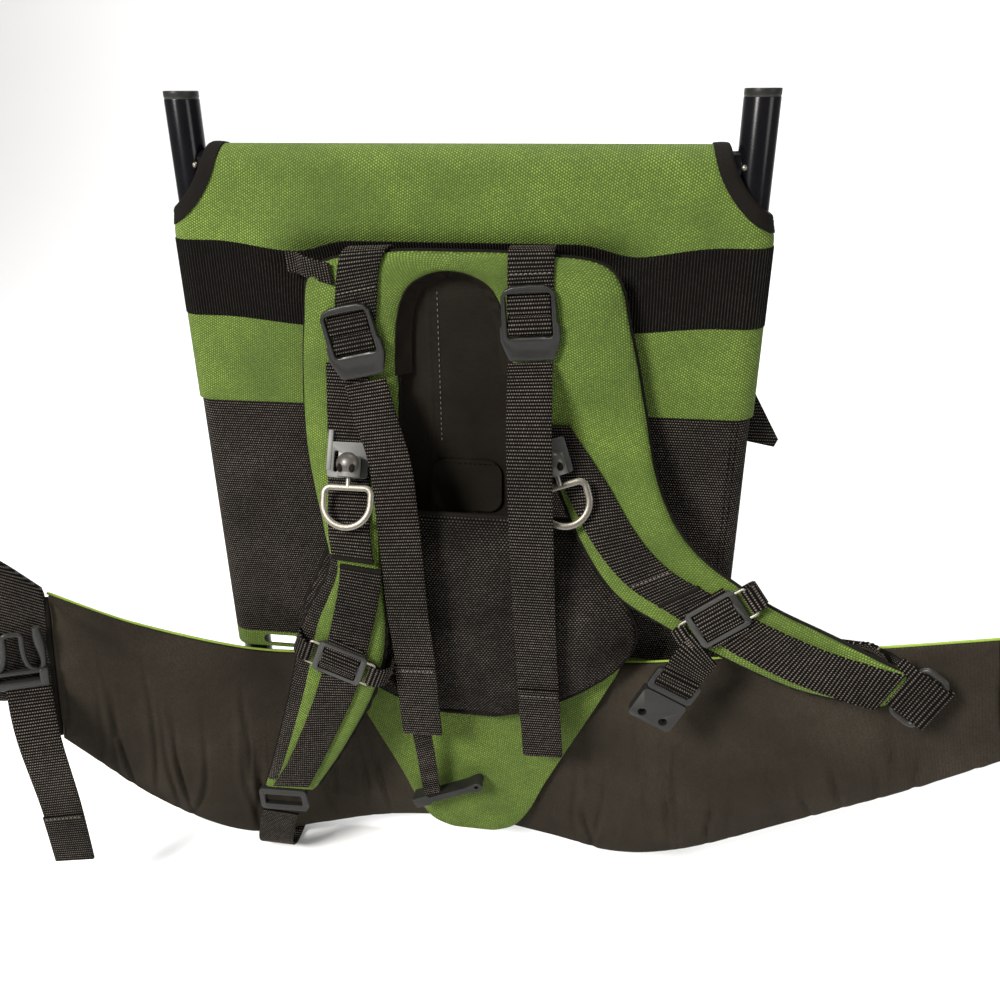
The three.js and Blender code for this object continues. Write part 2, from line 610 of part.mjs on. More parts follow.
const BELT_END_ROWS = {
  left: rowsOf(BELT_COLUMNS, [
    [-246.6, -74.6, -246, -253.8, -79.6, -322, 9], [-258, -84, -226, -267, -88, -319, 8],
    [-268, -91, -212, -281, -95, -316, 6],
  ]),
  right: rowsOf(BELT_COLUMNS, [
    [289.4, -92.1, -222, 303.4, -97.2, -291, 9], [304, -98, -214, 316, -103, -284, 8],
    [315, -103, -210, 326, -107, -278, 6],
  ]),
};
const BELTS = {};

function shellOf(band, last) {
  const rings = [];
  const places = [0, 0.25, 0.5, 0.75, 1];
  for (let s = 0; s <= BELT.steps; s += 1) {
    const { centre, across, normal, half, thick } = band.frame(last * s / BELT.steps);
    const front = thick / 2 + BELT.shellGap;
    const point = (place, back) => centre.clone()
      .addScaledVector(across, THREE.MathUtils.lerp(-half - BELT.shellRise, half - BELT.shellRise, place))
      .addScaledVector(normal, -back);
    const face = places.map((place) => point(place, front));
    const rear = places.toReversed().map((place) => point(place, front + BELT.shell));
    rings.push([...face, ...rear]);
  }
  return loft(rings);
}

function hipBelt() {
  for (const side of ['left', 'right']) {
    const last = BELT_ROWS[side].length - 1;
    BELTS[side] = new PaddedBand(BELT_ROWS[side]);
    addPiece(`belt_pad_${side}`, BELTS[side].pad(0, last, BELT.steps, 12, 0.5), 'lining');
    addPiece(`belt_shell_${side}`, shellOf(BELTS[side], last), 'green');
    const end = new PaddedBand(BELT_END_ROWS[side]);
    addPiece(`belt_end_${side}`, end.pad(0, 2, 6, 8, 0.4), 'webbing');
  }
}

// Sternum strap sliders on the shoulder straps, and the rings at the straps' lower ends.
const SLIDERS = rowsOf(['side', 'row', 'lift', 'shift', 'tilt'], [
  ['left', 2.55, 0.6, 0.1, -18],
  ['right', 20.45, 1.2, -0.1, 0],
]);
const STRAP_ENDS = rowsOf(['side', 'row', 'beyond'], [['left', LEFT_END, -10], ['right', RIGHT_END, 9.75]]);

function slottedPlate({ width, height, thickness, slotWidth, slotHeight }, slotCentres) {
  const shape = roundedRect(width, height, 3);
  for (const y of slotCentres) {
    shape.holes.push(roundedRect(slotWidth, slotHeight, 1, 0, y, THREE.Path));
  }
  return plate(shape, thickness);
}

function strapHardware() {
  const slotCentre = SLIDER.height / 4 + 0.5;
  for (const { side, row, lift, shift, tilt } of SLIDERS) {
    const turned = new THREE.Matrix4().makeRotationZ(THREE.MathUtils.degToRad(tilt));
    const seat = seatedMatrix(HARNESS.seat(row, GAP + WEBBING.thickness + lift, shift)).multiply(turned);
    addPiece(`sternum_slider_${side}`, slottedPlate(SLIDER, [-slotCentre, slotCentre]), 'plastic', seat);
  }
  for (const { side, row, beyond } of STRAP_ENDS) {
    const seat = HARNESS.frame(row);
    const before = HARNESS.frame(row - Math.sign(beyond) * 0.3).centre;
    const outward = seat.centre.clone().sub(before).normalize();
    seat.centre
      .addScaledVector(outward, Math.abs(beyond))
      .addScaledVector(seat.normal, -END_RING.thickness / 2);
    addPiece(`end_ring_${side}`, slottedPlate(END_RING, [0]), 'plastic', seatedMatrix(seat));
  }
}

// Webbing from the end rings back to the frame: under the belt on the left, over its top edge on the right.
const LOWER_ROWS = {
  left: rowsOf(FREE_COLUMNS, [
    [-121, -61, -418, -4, 0], [-128, -55, -438, -4, 0], [-135, -46, -461, -2, 0], [-138, -30, -475, 0, 0],
    [-136, -9, -467, 0, 0], [-134, -2, -440, 0, 0], [-133, 1.5, -414, 0, 0], [-133, 2.4, -386, 0, 0],
  ]),
  right: rowsOf(FREE_COLUMNS, [
    [244, -88.6, -249, -55, 0], [240, -86.5, -245, -40, -20], [235, -79, -242.5, -5, -28],
    [228, -66, -246, 16, -30], [218, -49, -254, 16, -30], [200, -30, -285, 8, -25],
    [168, -6, -338, 0, -10], [133, 4.2, -386, 0, 0],
  ]),
};

function lowerWebbing() {
  for (const { side } of STRAP_ENDS) {
    addPiece(`lower_webbing_${side}`, hangingWebbing(LOWER_ROWS[side], WEBBING.width, 3), 'webbing');
  }
}

// The two halves of the sternum strap, unfastened.
const STERNUM = { width: 22, leftWidth: 12 };
const STERNUM_ROWS = {
  left: rowsOf(FREE_COLUMNS, [
    [-44.5, -66, -289, -40, 0], [-41, -59, -298, -30, 55], [-40.5, -47, -310, -20, 60],
    [-30, -43, -328, -5, 35], [-19, -41, -361, 0, 30], [-10.4, -35, -409.2, 25, 0],
  ]),
  right: rowsOf(FREE_COLUMNS, [
    [145.6, -79, -250.5, -45, -18], [140, -79.5, -260, -33, -8], [135.2, -77, -270.6, -27, 0],
  ]),
};
const CLIP = {
  x: -10, z: -413, backY: -24.4, tilt: 25, length: 52, width: 16,
  block: 11, blockRise: 5, blockDrop: 4, bar: 2.5, neck: 2, ball: 4, ballNeck: 8, eye: 1.6,
};
const TRIGLIDE = {
  x: 131.5, y: -76, z: -277.8, width: 28, height: 15, thickness: 3.5, slotWidth: 22, slotHeight: 7,
};
const RECEIVER = { x: 123.1, y: -74, z: -294.2, width: 27, height: 21, thickness: 6, tilt: -27, hole: 2.6 };

function sternumStrap() {
  addPiece('sternum_webbing_left', hangingWebbing(STERNUM_ROWS.left, STERNUM.leftWidth, 3), 'webbing');
  addPiece('sternum_webbing_right', hangingWebbing(STERNUM_ROWS.right, STERNUM.width, 4), 'webbing');
  const triglideAt = upright(TRIGLIDE.x, TRIGLIDE.y, TRIGLIDE.z, RECEIVER.tilt);
  addPiece('sternum_triglide', slottedPlate(TRIGLIDE, [0]), 'plastic', triglideAt);
  const receiver = roundedRect(RECEIVER.width, RECEIVER.height, 3);
  for (const x of [-RECEIVER.width / 4, RECEIVER.width / 4]) {
    const hole = new THREE.Path();
    receiver.holes.push(hole.absarc(x, -RECEIVER.height / 4, RECEIVER.hole, 0, 2 * Math.PI));
  }
  const receiverAt = upright(RECEIVER.x, RECEIVER.y, RECEIVER.z, RECEIVER.tilt);
  addPiece('sternum_receiver', plate(receiver, RECEIVER.thickness, 6), 'plastic', receiverAt);
  const clipAt = upright(CLIP.x, CLIP.backY, CLIP.z, CLIP.tilt);
  addPiece('sternum_clip', plate(clipOutline(), CLIP.width, 6), 'plastic', clipAt);
}

// The clip is seen on edge: a block at one end, a thin bar, and a ball with an eye at the other end.
function clipOutline() {
  const { length, block, blockRise, blockDrop, bar, neck, ball, ballNeck, eye } = CLIP;
  const half = length / 2;
  const shape = new THREE.Shape();
  shape.moveTo(-half, -blockDrop);
  shape.lineTo(-half + block, -blockDrop);
  shape.lineTo(-half + block + neck, -bar);
  shape.lineTo(half - ball - ballNeck, -bar);
  shape.lineTo(half - ball - neck, -ball);
  shape.absarc(half - ball, 0, ball, -Math.PI / 2, Math.PI / 2);
  shape.lineTo(half - ball - ballNeck, bar);
  shape.lineTo(-half + block + neck, bar);
  shape.lineTo(-half + block, blockRise);
  shape.lineTo(-half, blockRise);
  shape.holes.push(new THREE.Path().absarc(half - ball, 0, eye, 0, 2 * Math.PI));
  return shape;
}

// Belt fastening: the prong half on the left with its loose tail, and a plain socket on the right.
const PRONG = {
  width: 36, base: 12, height: 44, thickness: 6, arm: 6, tip: 4, guide: 8, guideDrop: 8,
};
const SOCKET = { width: 38, height: 30, thickness: 8, corner: 3 };
const FASTENER_SLOT = { width: 26, height: 4, edge: 6 };
const BELT_TAIL_ROWS = rowsOf(FREE_COLUMNS, [
  [-258.5, -93.6, -306.2, -6, 28], [-254, -101, -321, -2, 24], [-250, -106, -341, 2, 18],
  [-247.5, -106, -386, 4, 12], [-249, -104, -435, 4, 8],
]);

// Half of the prong's outline, from the foot of an arm to the guide between both arms.
function prongSide(sign) {
  const { width, base, height, arm, tip, guide, guideDrop } = PRONG;
  const [side, top] = [width / 2, height / 2];
  const points = [
    [side, -top], [side, top - tip], [side - arm / 2, top], [side - arm, top - tip],
    [side - arm, base - top], [guide / 2, base - top], [guide / 2, top - guideDrop],
  ];
  return points.map(([x, y]) => new THREE.Vector2(sign * x, y));
}

function fastenerSlot(height) {
  const y = FASTENER_SLOT.edge - height / 2;
  return roundedRect(FASTENER_SLOT.width, FASTENER_SLOT.height, 1, 0, y, THREE.Path);
}

function beltFastening() {
  const prong = new THREE.Shape([...prongSide(1), ...prongSide(-1).toReversed()]);
  prong.holes.push(fastenerSlot(PRONG.height));
  const leftEnd = new PaddedBand(BELT_END_ROWS.left);
  const seat = leftEnd.seat(1.2, 3 * GAP, 0.25);
  const facing = seatedMatrix({ ...seat, across: seat.along, along: seat.across.clone().negate() });
  addPiece('belt_prong_left', plate(prong, PRONG.thickness), 'plastic', facing);
  addPiece('belt_tail_left', hangingWebbing(BELT_TAIL_ROWS, WEBBING.width, 3), 'webbing');
  const rightEnd = new PaddedBand(BELT_END_ROWS.right);
  const socket = roundedRect(SOCKET.width, SOCKET.height, SOCKET.corner);
  socket.holes.push(fastenerSlot(SOCKET.height));
  const socketSeat = seatedMatrix(rightEnd.seat(1.1, 3 * GAP, 0));
  addPiece('belt_socket_right', plate(socket, SOCKET.thickness), 'plastic', socketSeat);
}

frameTubes();
crossbars();
sleeve();
sideTab();
harnessPad();
strapWebbing();
ladderLocks();
liftersAndTails();
swivels();
lumbar();
spineSheets();
hipBelt();
strapHardware();
lowerWebbing();
sternumStrap();
beltFastening();

export default harness;
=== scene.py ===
import json
import math

import bpy
import numpy as np
from mathutils import Matrix, Vector


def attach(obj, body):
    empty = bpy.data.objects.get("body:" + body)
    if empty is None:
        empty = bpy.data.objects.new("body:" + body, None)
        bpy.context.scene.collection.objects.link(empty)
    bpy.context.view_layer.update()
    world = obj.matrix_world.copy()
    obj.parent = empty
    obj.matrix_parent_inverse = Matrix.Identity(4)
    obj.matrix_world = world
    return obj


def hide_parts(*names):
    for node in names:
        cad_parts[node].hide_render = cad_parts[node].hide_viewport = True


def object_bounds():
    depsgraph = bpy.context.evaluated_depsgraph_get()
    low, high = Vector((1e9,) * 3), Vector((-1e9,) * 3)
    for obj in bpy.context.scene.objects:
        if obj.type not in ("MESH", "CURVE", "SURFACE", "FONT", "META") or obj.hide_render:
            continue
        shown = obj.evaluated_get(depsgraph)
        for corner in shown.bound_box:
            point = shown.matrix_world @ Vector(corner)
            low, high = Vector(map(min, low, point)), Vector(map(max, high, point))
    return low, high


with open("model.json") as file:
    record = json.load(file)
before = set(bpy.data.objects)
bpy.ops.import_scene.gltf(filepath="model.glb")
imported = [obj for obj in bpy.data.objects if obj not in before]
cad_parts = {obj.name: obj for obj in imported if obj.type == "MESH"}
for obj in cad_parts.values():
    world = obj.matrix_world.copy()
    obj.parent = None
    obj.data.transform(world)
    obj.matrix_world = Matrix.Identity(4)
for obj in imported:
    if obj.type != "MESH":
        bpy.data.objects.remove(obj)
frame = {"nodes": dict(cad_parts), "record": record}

CAD_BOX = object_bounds()

bl_info = {
    "name": "Frame backpack harness",
    "version": (1, 0, 0),
    "blender": (4, 5, 0),
    "location": "3D View > Sidebar > Harness",
    "description": "Cloth, padding, webbing and buckles of a frame backpack harness",
    "category": "Object",
}

# Tables are in millimetres, with z = 0 at the sleeve's top fold and y = 0 at its front face.
MM = 0.001
BACK_REST = np.array((0.0, 39.0, 276.0))
TUBE_X, TUBE_RADIUS, TUBE_TOP, TUBE_BOTTOM = 156.5, 9.5, 24.0, -404.0
CAP_RADIUS, CAP_HEIGHT = 9.5, 4.0
CROSSBAR_RADIUS, CROSSBAR_LENGTH = 8.0, 298
CROSSBAR_LEVELS = {"crossbar_top": -9.8, "crossbar_bottom": -386.0}
RIVET_IN, RIVET_AHEAD, RIVET_RADIUS = 6.2, 7.4, 1.7
SLEEVE_DEPTH, SLEEVE_THICK = 12.5, 1.5
CUT_X, CUT_HALF, CUT_DROP, CUT_POWER, CUT_TAPE = 170.0, 28.0, 35.0, 1.5, 7.5
SEAM_Z, MESH_BOTTOM_Z, HEM_BOTTOM_Z = -146.0, -315.0, -327.0
# Slots in the hem: both middles, width and height, level. Stitches down the panel's right side, at x.
HEM_SLOTS = ((-133, 133), (25, 7), -321)
PANEL_STITCHES_X = (158.0, 161.0)
STITCHES_ACROSS = 9
BAND_TOP, BAND_BOTTOM = -49.5, -93.0
WEB, WEB_THICK, SEWN_RISE, THREADED_THICK = 25.0, 1.5, 0.35, 1.2
GAP = 0.3
RIB_STEPS = 4
SIDES = (("left", -1), ("right", 1))
# The sleeve is pressed in above the yoke, and the band dips beside the yoke and rises behind it.
PRESS_DEPTH, PRESS_HALF, PRESS_FADE, PRESS_LEVEL, PRESS_WIDTH = 10.0, 118, 40, -62, 13
DIP_HALF, DIP_FADE, DIP_BOTTOM, DIP_TOP = 145, 60, 4.5, 2.5
RISE_HALF, RISE_FADE, RISE_TOP = 102, 38, 7.6
# Cloth settings of the padding, and its frames.
SWELL = {
    "quality": 5, "mass": 0.25, "tension_stiffness": 12, "compression_stiffness": 12, "bending_stiffness": 0.4,
    "use_pressure": True, "uniform_pressure_force": 4.0,
}
SWELL_FRAMES = 16
# Lights: name, place, target and size in metres, power, and a colour where it isn't white.
LIGHTS = (
    ("key_light", (-0.85, -1.2, 1.1), (0, 0, 0.02), 0.55, 57, (1.0, 0.97, 0.93)),
    ("side_light", (1.5, -0.9, 0.9), (0.05, 0, 0.05), 0.6, 8),
    ("top_light", (0.1, 0.4, 1.7), (0, 0, 0.1), 0.8, 14),
    ("backdrop_light", (0.0, 1.0, 2.4), (0, 2.7, 1.0), 1.5, 60),
)
# Camera: turn, pitch and roll in degrees, place in metres and lens in millimetres.
CAMERA_TURNS, CAMERA_PLACE, CAMERA_LENS = (8.10, 24.80, -0.34), (0.0934, -0.4628, 0.3057), 32.28

# Shoulder harness: outer x, outer z, inner x, inner z, depth y, thickness, from the left tip to the right tip.
HARNESS_ROWS = (
    (-130, -398, -96, -397, -61, 7), (-119, -366, -71, -356, -60, 11), (-104, -315, -49, -311, -57, 13),
    (-91, -266, -41, -273, -55, 13), (-74, -232, -42, -236, -50, 12), (-77, -208, -43, -208, -44, 12),
    (-84, -190, -40, -190, -33, 12), (-91, -168, -37, -168, -20, 13), (-93, -138, -36, -140, -12.5, 13),
    (-89, -95, -34, -95, -11.5, 13), (-80, -62, -28, -74, -11.5, 13), (-40, -53, -17, -65, -11.5, 12),
    (0, -52, -4, -62, -11.5, 12), (42, -53, 10, -65, -11.5, 12), (84, -60, 21, -74, -11.5, 13),
    (97, -95, 28, -95, -11.5, 13), (107, -138, 36, -140, -12.5, 13), (115, -172, 58, -178, -24, 13),
    (126, -193, 75, -208, -42, 13), (142, -209, 96, -234, -53, 13), (161, -220, 122, -247, -61, 13),
    (182, -229, 153, -258, -70, 12), (210, -237, 194, -270, -80, 11), (233, -242, 223, -268, -92, 9),
    (248, -245, 238, -265, -99, 7),
)
# Facing inside the opening: first row, number of rows. Ribbed strip: first row, last row, share of the half width.
FACING_FIRST, FACING_ROWS = 8.4, 7.2
LIP_FIRST, LIP_LAST, LIP_SHARE = 0.3, 4.4, 0.56
# Webbing sewn to the harness: name, first row, last row, lift, share of the half width at both ends.
SEWN_WEBBING = (
    ("lash_webbing_left", 8.55, 4.35, 0.3, 0, 0), ("strap_webbing_left", 4.2, 0.2, 0.3, 0.3, 0),
    ("lash_webbing_right", 16.2, 19.6, 0.6, 0.62, 0), ("strap_webbing_right", 19.65, 23.8, 0.3, 0, 0),
)
# Folded ends and seams across it: name, row, lift, share of the half width.
SEWN_FOLDS = (
    ("lash_fold_left", 4.36, 1.4, 0), ("strap_fold_left", 4.18, 1.4, 0.3), ("lash_fold_right", 19.6, 1.8, 0),
)
# Hanging webbing: x, y, z of the back face's middle, lean in the XZ plane and turn towards +Y in degrees.
HANGING = {
    "lifter_loop_left": (25, (
        (-48, 1, -54.5, 0, 0), (-49, -8, -51.8, 3, 0), (-51, -17, -54.5, 6, 0),
        (-54, -18.8, -67, 12, 0), (-58, -18.8, -101, 13, 0))),
    "lifter_loop_right": (25, (
        (42, 1, -53, 0, 0), (42, -8, -50.2, 1, 0), (42, -17, -53, 2, 0),
        (42, -18.8, -66, 4, 0), (42, -18.8, -90, 4, 0))),
    "tail_left": (25, (
        (-52.5, -21.5, -124, 13, 0), (-46, -29, -141, 10, 0), (-35.5, -41, -166, 8, 0), (-31, -49, -192, 6, 0),
        (-28, -54, -222, 5, 0), (-26, -56, -255, 4, 0), (-24, -53, -290, 3, 0), (-22, -49, -351, 2, 0))),
    "tail_right": (25, (
        (42.5, -21.5, -110, 4, 0), (43.5, -33, -124, 3, 0), (45, -48, -150, 2, 0), (47, -54, -190, 1, 0),
        (48.5, -52, -232, 1, 0), (50.5, -47, -285, 1, 0), (55.4, -41.5, -367, 2, 0))),
    "lower_webbing_left": (25, (
        (-121, -61, -418, -4, 0), (-128, -55, -438, -4, 0), (-135, -46, -461, -2, 0), (-138, -30, -475, 0, 0),
        (-136, -9, -467, 0, 0), (-134, -2, -440, 0, 0), (-133, 1.5, -414, 0, 0), (-133, 2.4, -386, 0, 0))),
    "lower_webbing_right": (25, (
        (244, -88.6, -249, -55, 0), (240, -86.5, -245, -40, -20), (235, -79, -244, -5, -28),
        (228, -66, -249.5, 16, -30), (218, -49, -258, 16, -30), (200, -30, -285, 8, -25),
        (168, -6, -338, 0, -10), (133, 4.2, -386, 0, 0))),
    "sternum_webbing_left": (12, (
        (-44.5, -66, -289, -40, 0), (-41, -59, -298, -30, 55), (-40.5, -47, -310, -20, 60),
        (-30, -43, -328, -5, 35), (-25, -41, -361, 0, 30), (-21.5, -33.5, -417, 18, 0))),
    "sternum_webbing_right": (22, (
        (145.6, -79, -250.5, -45, -18), (140, -79.5, -260, -33, -8), (135.2, -77, -270.6, -27, 0))),
    "belt_tail_left": (25, (
        (-258.5, -93.6, -306.2, -6, 28), (-254, -101, -321, -2, 24), (-250, -106, -341, 2, 18),
        (-247.5, -106, -386, 4, 12), (-249, -104, -435, 4, 8))),
}
# Stitch lines across webbing, each at a share of its length.
HANGING_STITCHES = (
    ("lifter_loop_left", 0.8), ("lifter_loop_right", 0.68), ("tail_left", 0.88), ("tail_right", 0.9),
    ("belt_tail_left", 0.8),
)
FOLDED_ENDS = (("tail_left", 0.87), ("tail_right", 0.89), ("belt_tail_left", 0.79))
SEWN_STITCHES = (("lash_webbing_right", 0.6), ("lash_webbing_right", 0.82))
YOKE_CORNER = ((-99, -3.4, -60, 95, 0), (-91, -6, -60.5, 95, 0), (-84, -13, -61.5, 96, 0), (-68, -18.8, -64, 98, 0))
# Lumbar pad and the flap behind it: height z, half width, thickness.
LUMBAR_X, LUMBAR_Y, FLAP_Y = 5.0, -31.6, -22.6
LUMBAR_ROWS = (
    (-201, 66, 4), (-206, 75, 9), (-224, 83, 14.2), (-250, 95, 14.8), (-274, 105, 14.8),
    (-296, 98, 13.5), (-318, 76, 11), (-336, 46, 7), (-345, 18, 4),
)
FLAP_ROWS = (
    (-266, 92, 2.8), (-300, 98, 3), (-330, 87, 3), (-370, 68, 3), (-408, 50, 3), (-432, 40, 3), (-448, 29, 3),
    (-455, 14, 2.8),
)
# Spine cloth: name, middle x, middle z, width, height, corner, back y, thickness.
SPINE_SHEETS = (
    ("spine_sheet", -4, -137, 78, 158, 6, -2.1, 2),
    ("spine_flap", 2.5, -193, 43, 34, 9, -4.4, 2),
    ("spine_tab", -3.5, -216.8, 26, 12, 2, -4.4, 1.6),
)
SPINE_SEAM_X = -18.3
# Hip belt: outer x, y, z, inner x, y, z and thickness, from the middle to the ends.
BELT_ROWS = {
    "left": (
        (-2, -9.8, -312, -2, -9.8, -453, 14), (-61, -9.8, -317, -61, -9.8, -460, 14),
        (-106, -11.2, -322, -110, -18, -467, 15), (-151, -27, -311, -159, -41, -459, 15),
        (-207, -50, -283, -210, -60, -418, 15), (-246, -74, -249, -256, -79, -353, 14)),
    "right": (
        (2, -9.8, -312, 2, -9.8, -453, 14), (60, -9.8, -312, 60, -9.8, -464, 14),
        (104, -11.2, -311, 107, -16, -468, 15), (150, -28, -293, 152, -38, -437, 15),
        (201, -54, -266, 213, -61, -382, 15), (248, -77, -242, 258, -84, -334, 14),
        (289, -92, -224, 303, -97, -293, 13)),
}
BELT_END_ROWS = {
    "left": (
        (-246.6, -74.6, -246, -253.8, -79.6, -322, 9), (-258, -84, -226, -267, -88, -319, 8),
        (-268, -91, -212, -281, -95, -316, 6)),
    "right": (
        (289.4, -92.1, -222, 303.4, -97.2, -291, 9), (304, -98, -214, 316, -103, -284, 8),
        (315, -103, -210, 326, -107, -278, 6)),
}
SHELL_DROP, SHELL_GAP, SHELL_THICK = 3.5, 0.5, 1.6
# Creases in a wing: how many, and the least and most slant, middle, reach, depth and bend.
CREASES, CREASE_LEAST, CREASE_MOST = 15, (-0.25, 5, 22, 1.2, 2), (0.25, 60, 52, 3.0, 7)
SIDE_TAB = ((150, -99), (189, -166), (187, -171), (165, -167), (158, -144), (130, -108))
# Ladder-locks: x, z, tilt. Sliders: row, lift, share of the half width, tilt. Swivels: row, share, lift, lean.
LOCK_BACK_Y, LOCK_THICK = -20.4, 3.6
LOCKS = {"left": (-58, -101, 13), "right": (42, -88, 4)}
LOCK_OUTLINE = (
    (0, 21.2), (8.5, 20.8), (12.6, 19.2), (14.9, 15.8), (15.4, 0.5), (16.7, -1.5), (16.8, -8), (15.4, -13),
    (12.8, -19.4), (11.6, -20.4), (0, -20.6),
)
LOCK_WINDOW = ((0, 17.0), (11.2, 16.8), (12.4, 15.6), (12.4, -6.2), (11.4, -7.3), (0, -7.3))
LOCK_MIDDLE = 4.0
LOCK_SECTION = (
    (0, 0), (0, 0.75), (0.1, 0.95), (0.26, 1), (0.5, 0.96), (0.74, 1), (0.9, 0.93), (1, 0.7), (1, 0.12), (0.92, 0),
    (0, 0),
)
LOCK_WEBBING = {
    "upper": ((19, -1.6), (15.5, -0.8), (12, 1.0), (9.4, 2.0), (7.2, 1.9), (5.8, 0.6), (5.4, -1.2)),
    "lower": ((3.4, -1.4), (2.8, -0.6), (0.6, 1.2), (-1.8, 2.0), (-3.9, 1.7), (-5.2, 0.2), (-5.6, -1.6)),
}
SLIDERS = {"left": (2.55, 0.6, 0.1, -18), "right": (20.45, 1.2, -0.1, 0)}
SLIDER_WEBBING = (
    (13, -0.7), (9.5, 0.1), (6, 1.8), (2.8, 3.2), (0, 3.5), (-2.8, 3.2), (-6, 1.8), (-9.5, 0.1), (-13, -0.7),
)
SLIDER_WIRE_X, SLIDER_WIRE_OUT, SLIDER_WIRE_HALF = 17.2, 1.9, (3.9, 7.6)
SWIVELS = {"left": (6.75, 0.02, 1.5, 0), "right": (16.7, 0.9, 1.5, 18)}
MOULDED = (
    "sternum_slider_left", "sternum_slider_right", "end_ring_left", "sternum_triglide", "sternum_receiver",
    "sternum_clip", "belt_socket_right",
)
PRONG_BLOCKS = (
    ((0, -19.4, 3), (35.6, 5.0, 6.2)), ((0, -11.0, 3), (33, 2.6, 4.6)),
    ((-15.4, -15.4, 3), (5.2, 12.6, 6.6)), ((15.4, -15.4, 3), (5.2, 12.6, 6.6)),
)
PRONG_ARM = ((14.8, -11), (15.6, -6), (15.6, -1), (14.9, 6), (14.0, 13), (13.4, 19.4))
PRONG_ARM_RADII = (1.7, 1.6, 2.2, 3.1, 3.1, 2.3)
PRONG_GUIDE = (
    (12, -11), (9, -9), (6.6, -5), (5.4, 1), (5.0, 8), (5.0, 13.2), (3.8, 15.2), (0, 15.8), (-3.8, 15.2), (-5.0, 13.2),
    (-5.0, 8), (-5.4, 1), (-6.6, -5), (-9, -9), (-12, -11),
)


def length_value(name, description, default):
    return bpy.props.FloatProperty(name=name, description=description, default=default * MM, unit="LENGTH")


def colour_value(name, description, *default):
    return bpy.props.FloatVectorProperty(
        name=name, description=description, subtype="COLOR", size=4, default=(*default, 1))


class HarnessSizes(bpy.types.PropertyGroup):
    """Sizes of the fine work on the harness"""

    rib: length_value("Webbing rib", "Length of webbing that one rib takes", 1.95)
    rise: length_value("Rib rise", "How far a rib stands from the middle of the webbing's face", 0.22)
    band_rib: length_value("Band rib", "Length of the wide band that one rib takes", 1.67)
    weave: length_value("Cloth thread", "Width of one thread of the green cloth", 1.35)
    mesh: length_value("Mesh row", "Height of one row of the ribbed mesh", 1.6)
    stitch: length_value("Stitch", "Length of one stitch", 2.6)
    edge: length_value("Moulded edge", "Rounding of the buckles' edges", 0.55)


class HarnessColours(bpy.types.PropertyGroup):
    """Colours of the cloth, webbing and fittings"""

    green: colour_value("Green cloth", "Green of the coated cloth", 0.18, 0.26, 0.04)
    green_dark: colour_value("Green thread", "Darker threads of the green cloth", 0.035, 0.06, 0.01)
    webbing: colour_value("Webbing", "Brown-black of the webbing", 0.12, 0.104, 0.086)
    lining: colour_value("Lining", "Warm black of the belt's lining", 0.04, 0.033, 0.024)
    plastic: colour_value("Plastic", "Dark grey of the moulded buckles", 0.010, 0.010, 0.009)
    metal: colour_value("Metal", "Gunmetal of the rings", 0.15, 0.14, 0.118)
    bracket: colour_value("Bracket", "Light grey of the swivel brackets", 0.075, 0.075, 0.071)
    thread: colour_value("Thread", "Pale sewing thread", 0.4, 0.37, 0.31)


def sizes():
    return bpy.context.scene.harness_sizes


def colours():
    return bpy.context.scene.harness_colours


# Numbers and frames.
def unit(vectors):
    return vectors / np.linalg.norm(vectors, axis=-1, keepdims=True)


def ease(share):
    """A smooth step from 0 to 1."""
    share = np.clip(share, 0, 1)
    return share ** 2 * (3 - 2 * share)


def run_along(points):
    """How far along a line each of its points lies."""
    return np.concatenate(([0], np.cumsum(np.linalg.norm(np.diff(points, axis=0), axis=1))))


def smooth(rows, at):
    """Values on the smooth line through the rows of a table, at row numbers."""
    rows = np.asarray(rows, float)
    at = np.clip(np.asarray(at, float), 0, len(rows) - 1)
    i = np.minimum(at.astype(int), len(rows) - 2)
    w = (at - i)[:, None]
    line = np.vstack((2 * rows[0] - rows[1], rows, 2 * rows[-1] - rows[-2]))
    p0, p1, p2, p3 = (line[i + k] for k in range(4))
    t0, t1 = (p2 - p0) / 2, (p3 - p1) / 2
    return (2 * p1 - 2 * p2 + t0 + t1) * w ** 3 + (3 * p2 - 3 * p1 - 2 * t0 - t1) * w ** 2 + t0 * w + p1


def ripple(x, y, seed):
    """A smooth uneven wave from -1 to 1 over two lengths in millimetres."""
    turn = np.random.default_rng(seed).uniform(0, 2 * math.pi, 8)
    waves = (
        np.sin(x / 9.1 + turn[0] + 1.3 * np.sin(y / 31 + turn[1])),
        np.sin(y / 14.7 + turn[2] + 1.1 * np.sin(x / 23 + turn[3])),
        np.sin((x + y) / 19.3 + turn[4]) * np.sin((x - y) / 37 + turn[5]),
        np.sin(x / 41 + turn[6]) * np.sin(y / 53 + turn[7]),
    )
    return sum(waves) / 4


class Band:
    """A padded band between two edges, with a thickness, through the rows of a table."""

    def __init__(self, outer, inner, thick):
        self.outer = np.asarray(outer, float)
        self.inner = np.asarray(inner, float)
        self.thick = np.asarray(thick, float)[:, None]
        self.last = len(self.thick) - 1

    def middle(self, at):
        return (smooth(self.outer, at) + smooth(self.inner, at)) / 2

    def frame(self, at):
        at = np.asarray(at, float)
        edge = smooth(self.inner, at) - smooth(self.outer, at)
        ahead = self.middle(np.minimum(at + 0.2, self.last)) - self.middle(np.maximum(at - 0.2, 0))
        across = unit(edge)
        normal = unit(np.cross(across, ahead))
        normal *= np.where(normal[:, 1:2] > 0, -1, 1)
        half = np.linalg.norm(edge, axis=1, keepdims=True) / 2
        return self.middle(at), across, np.cross(normal, across), normal, half, smooth(self.thick, at)

    def at_row(self, row):
        """The same at one row."""
        return [v[0] for v in self.frame(np.array((row,), float))]


def harness_band():
    rows = np.array(HARNESS_ROWS, float)
    return Band(rows[:, (0, 4, 1)], rows[:, (2, 4, 3)], rows[:, 5])


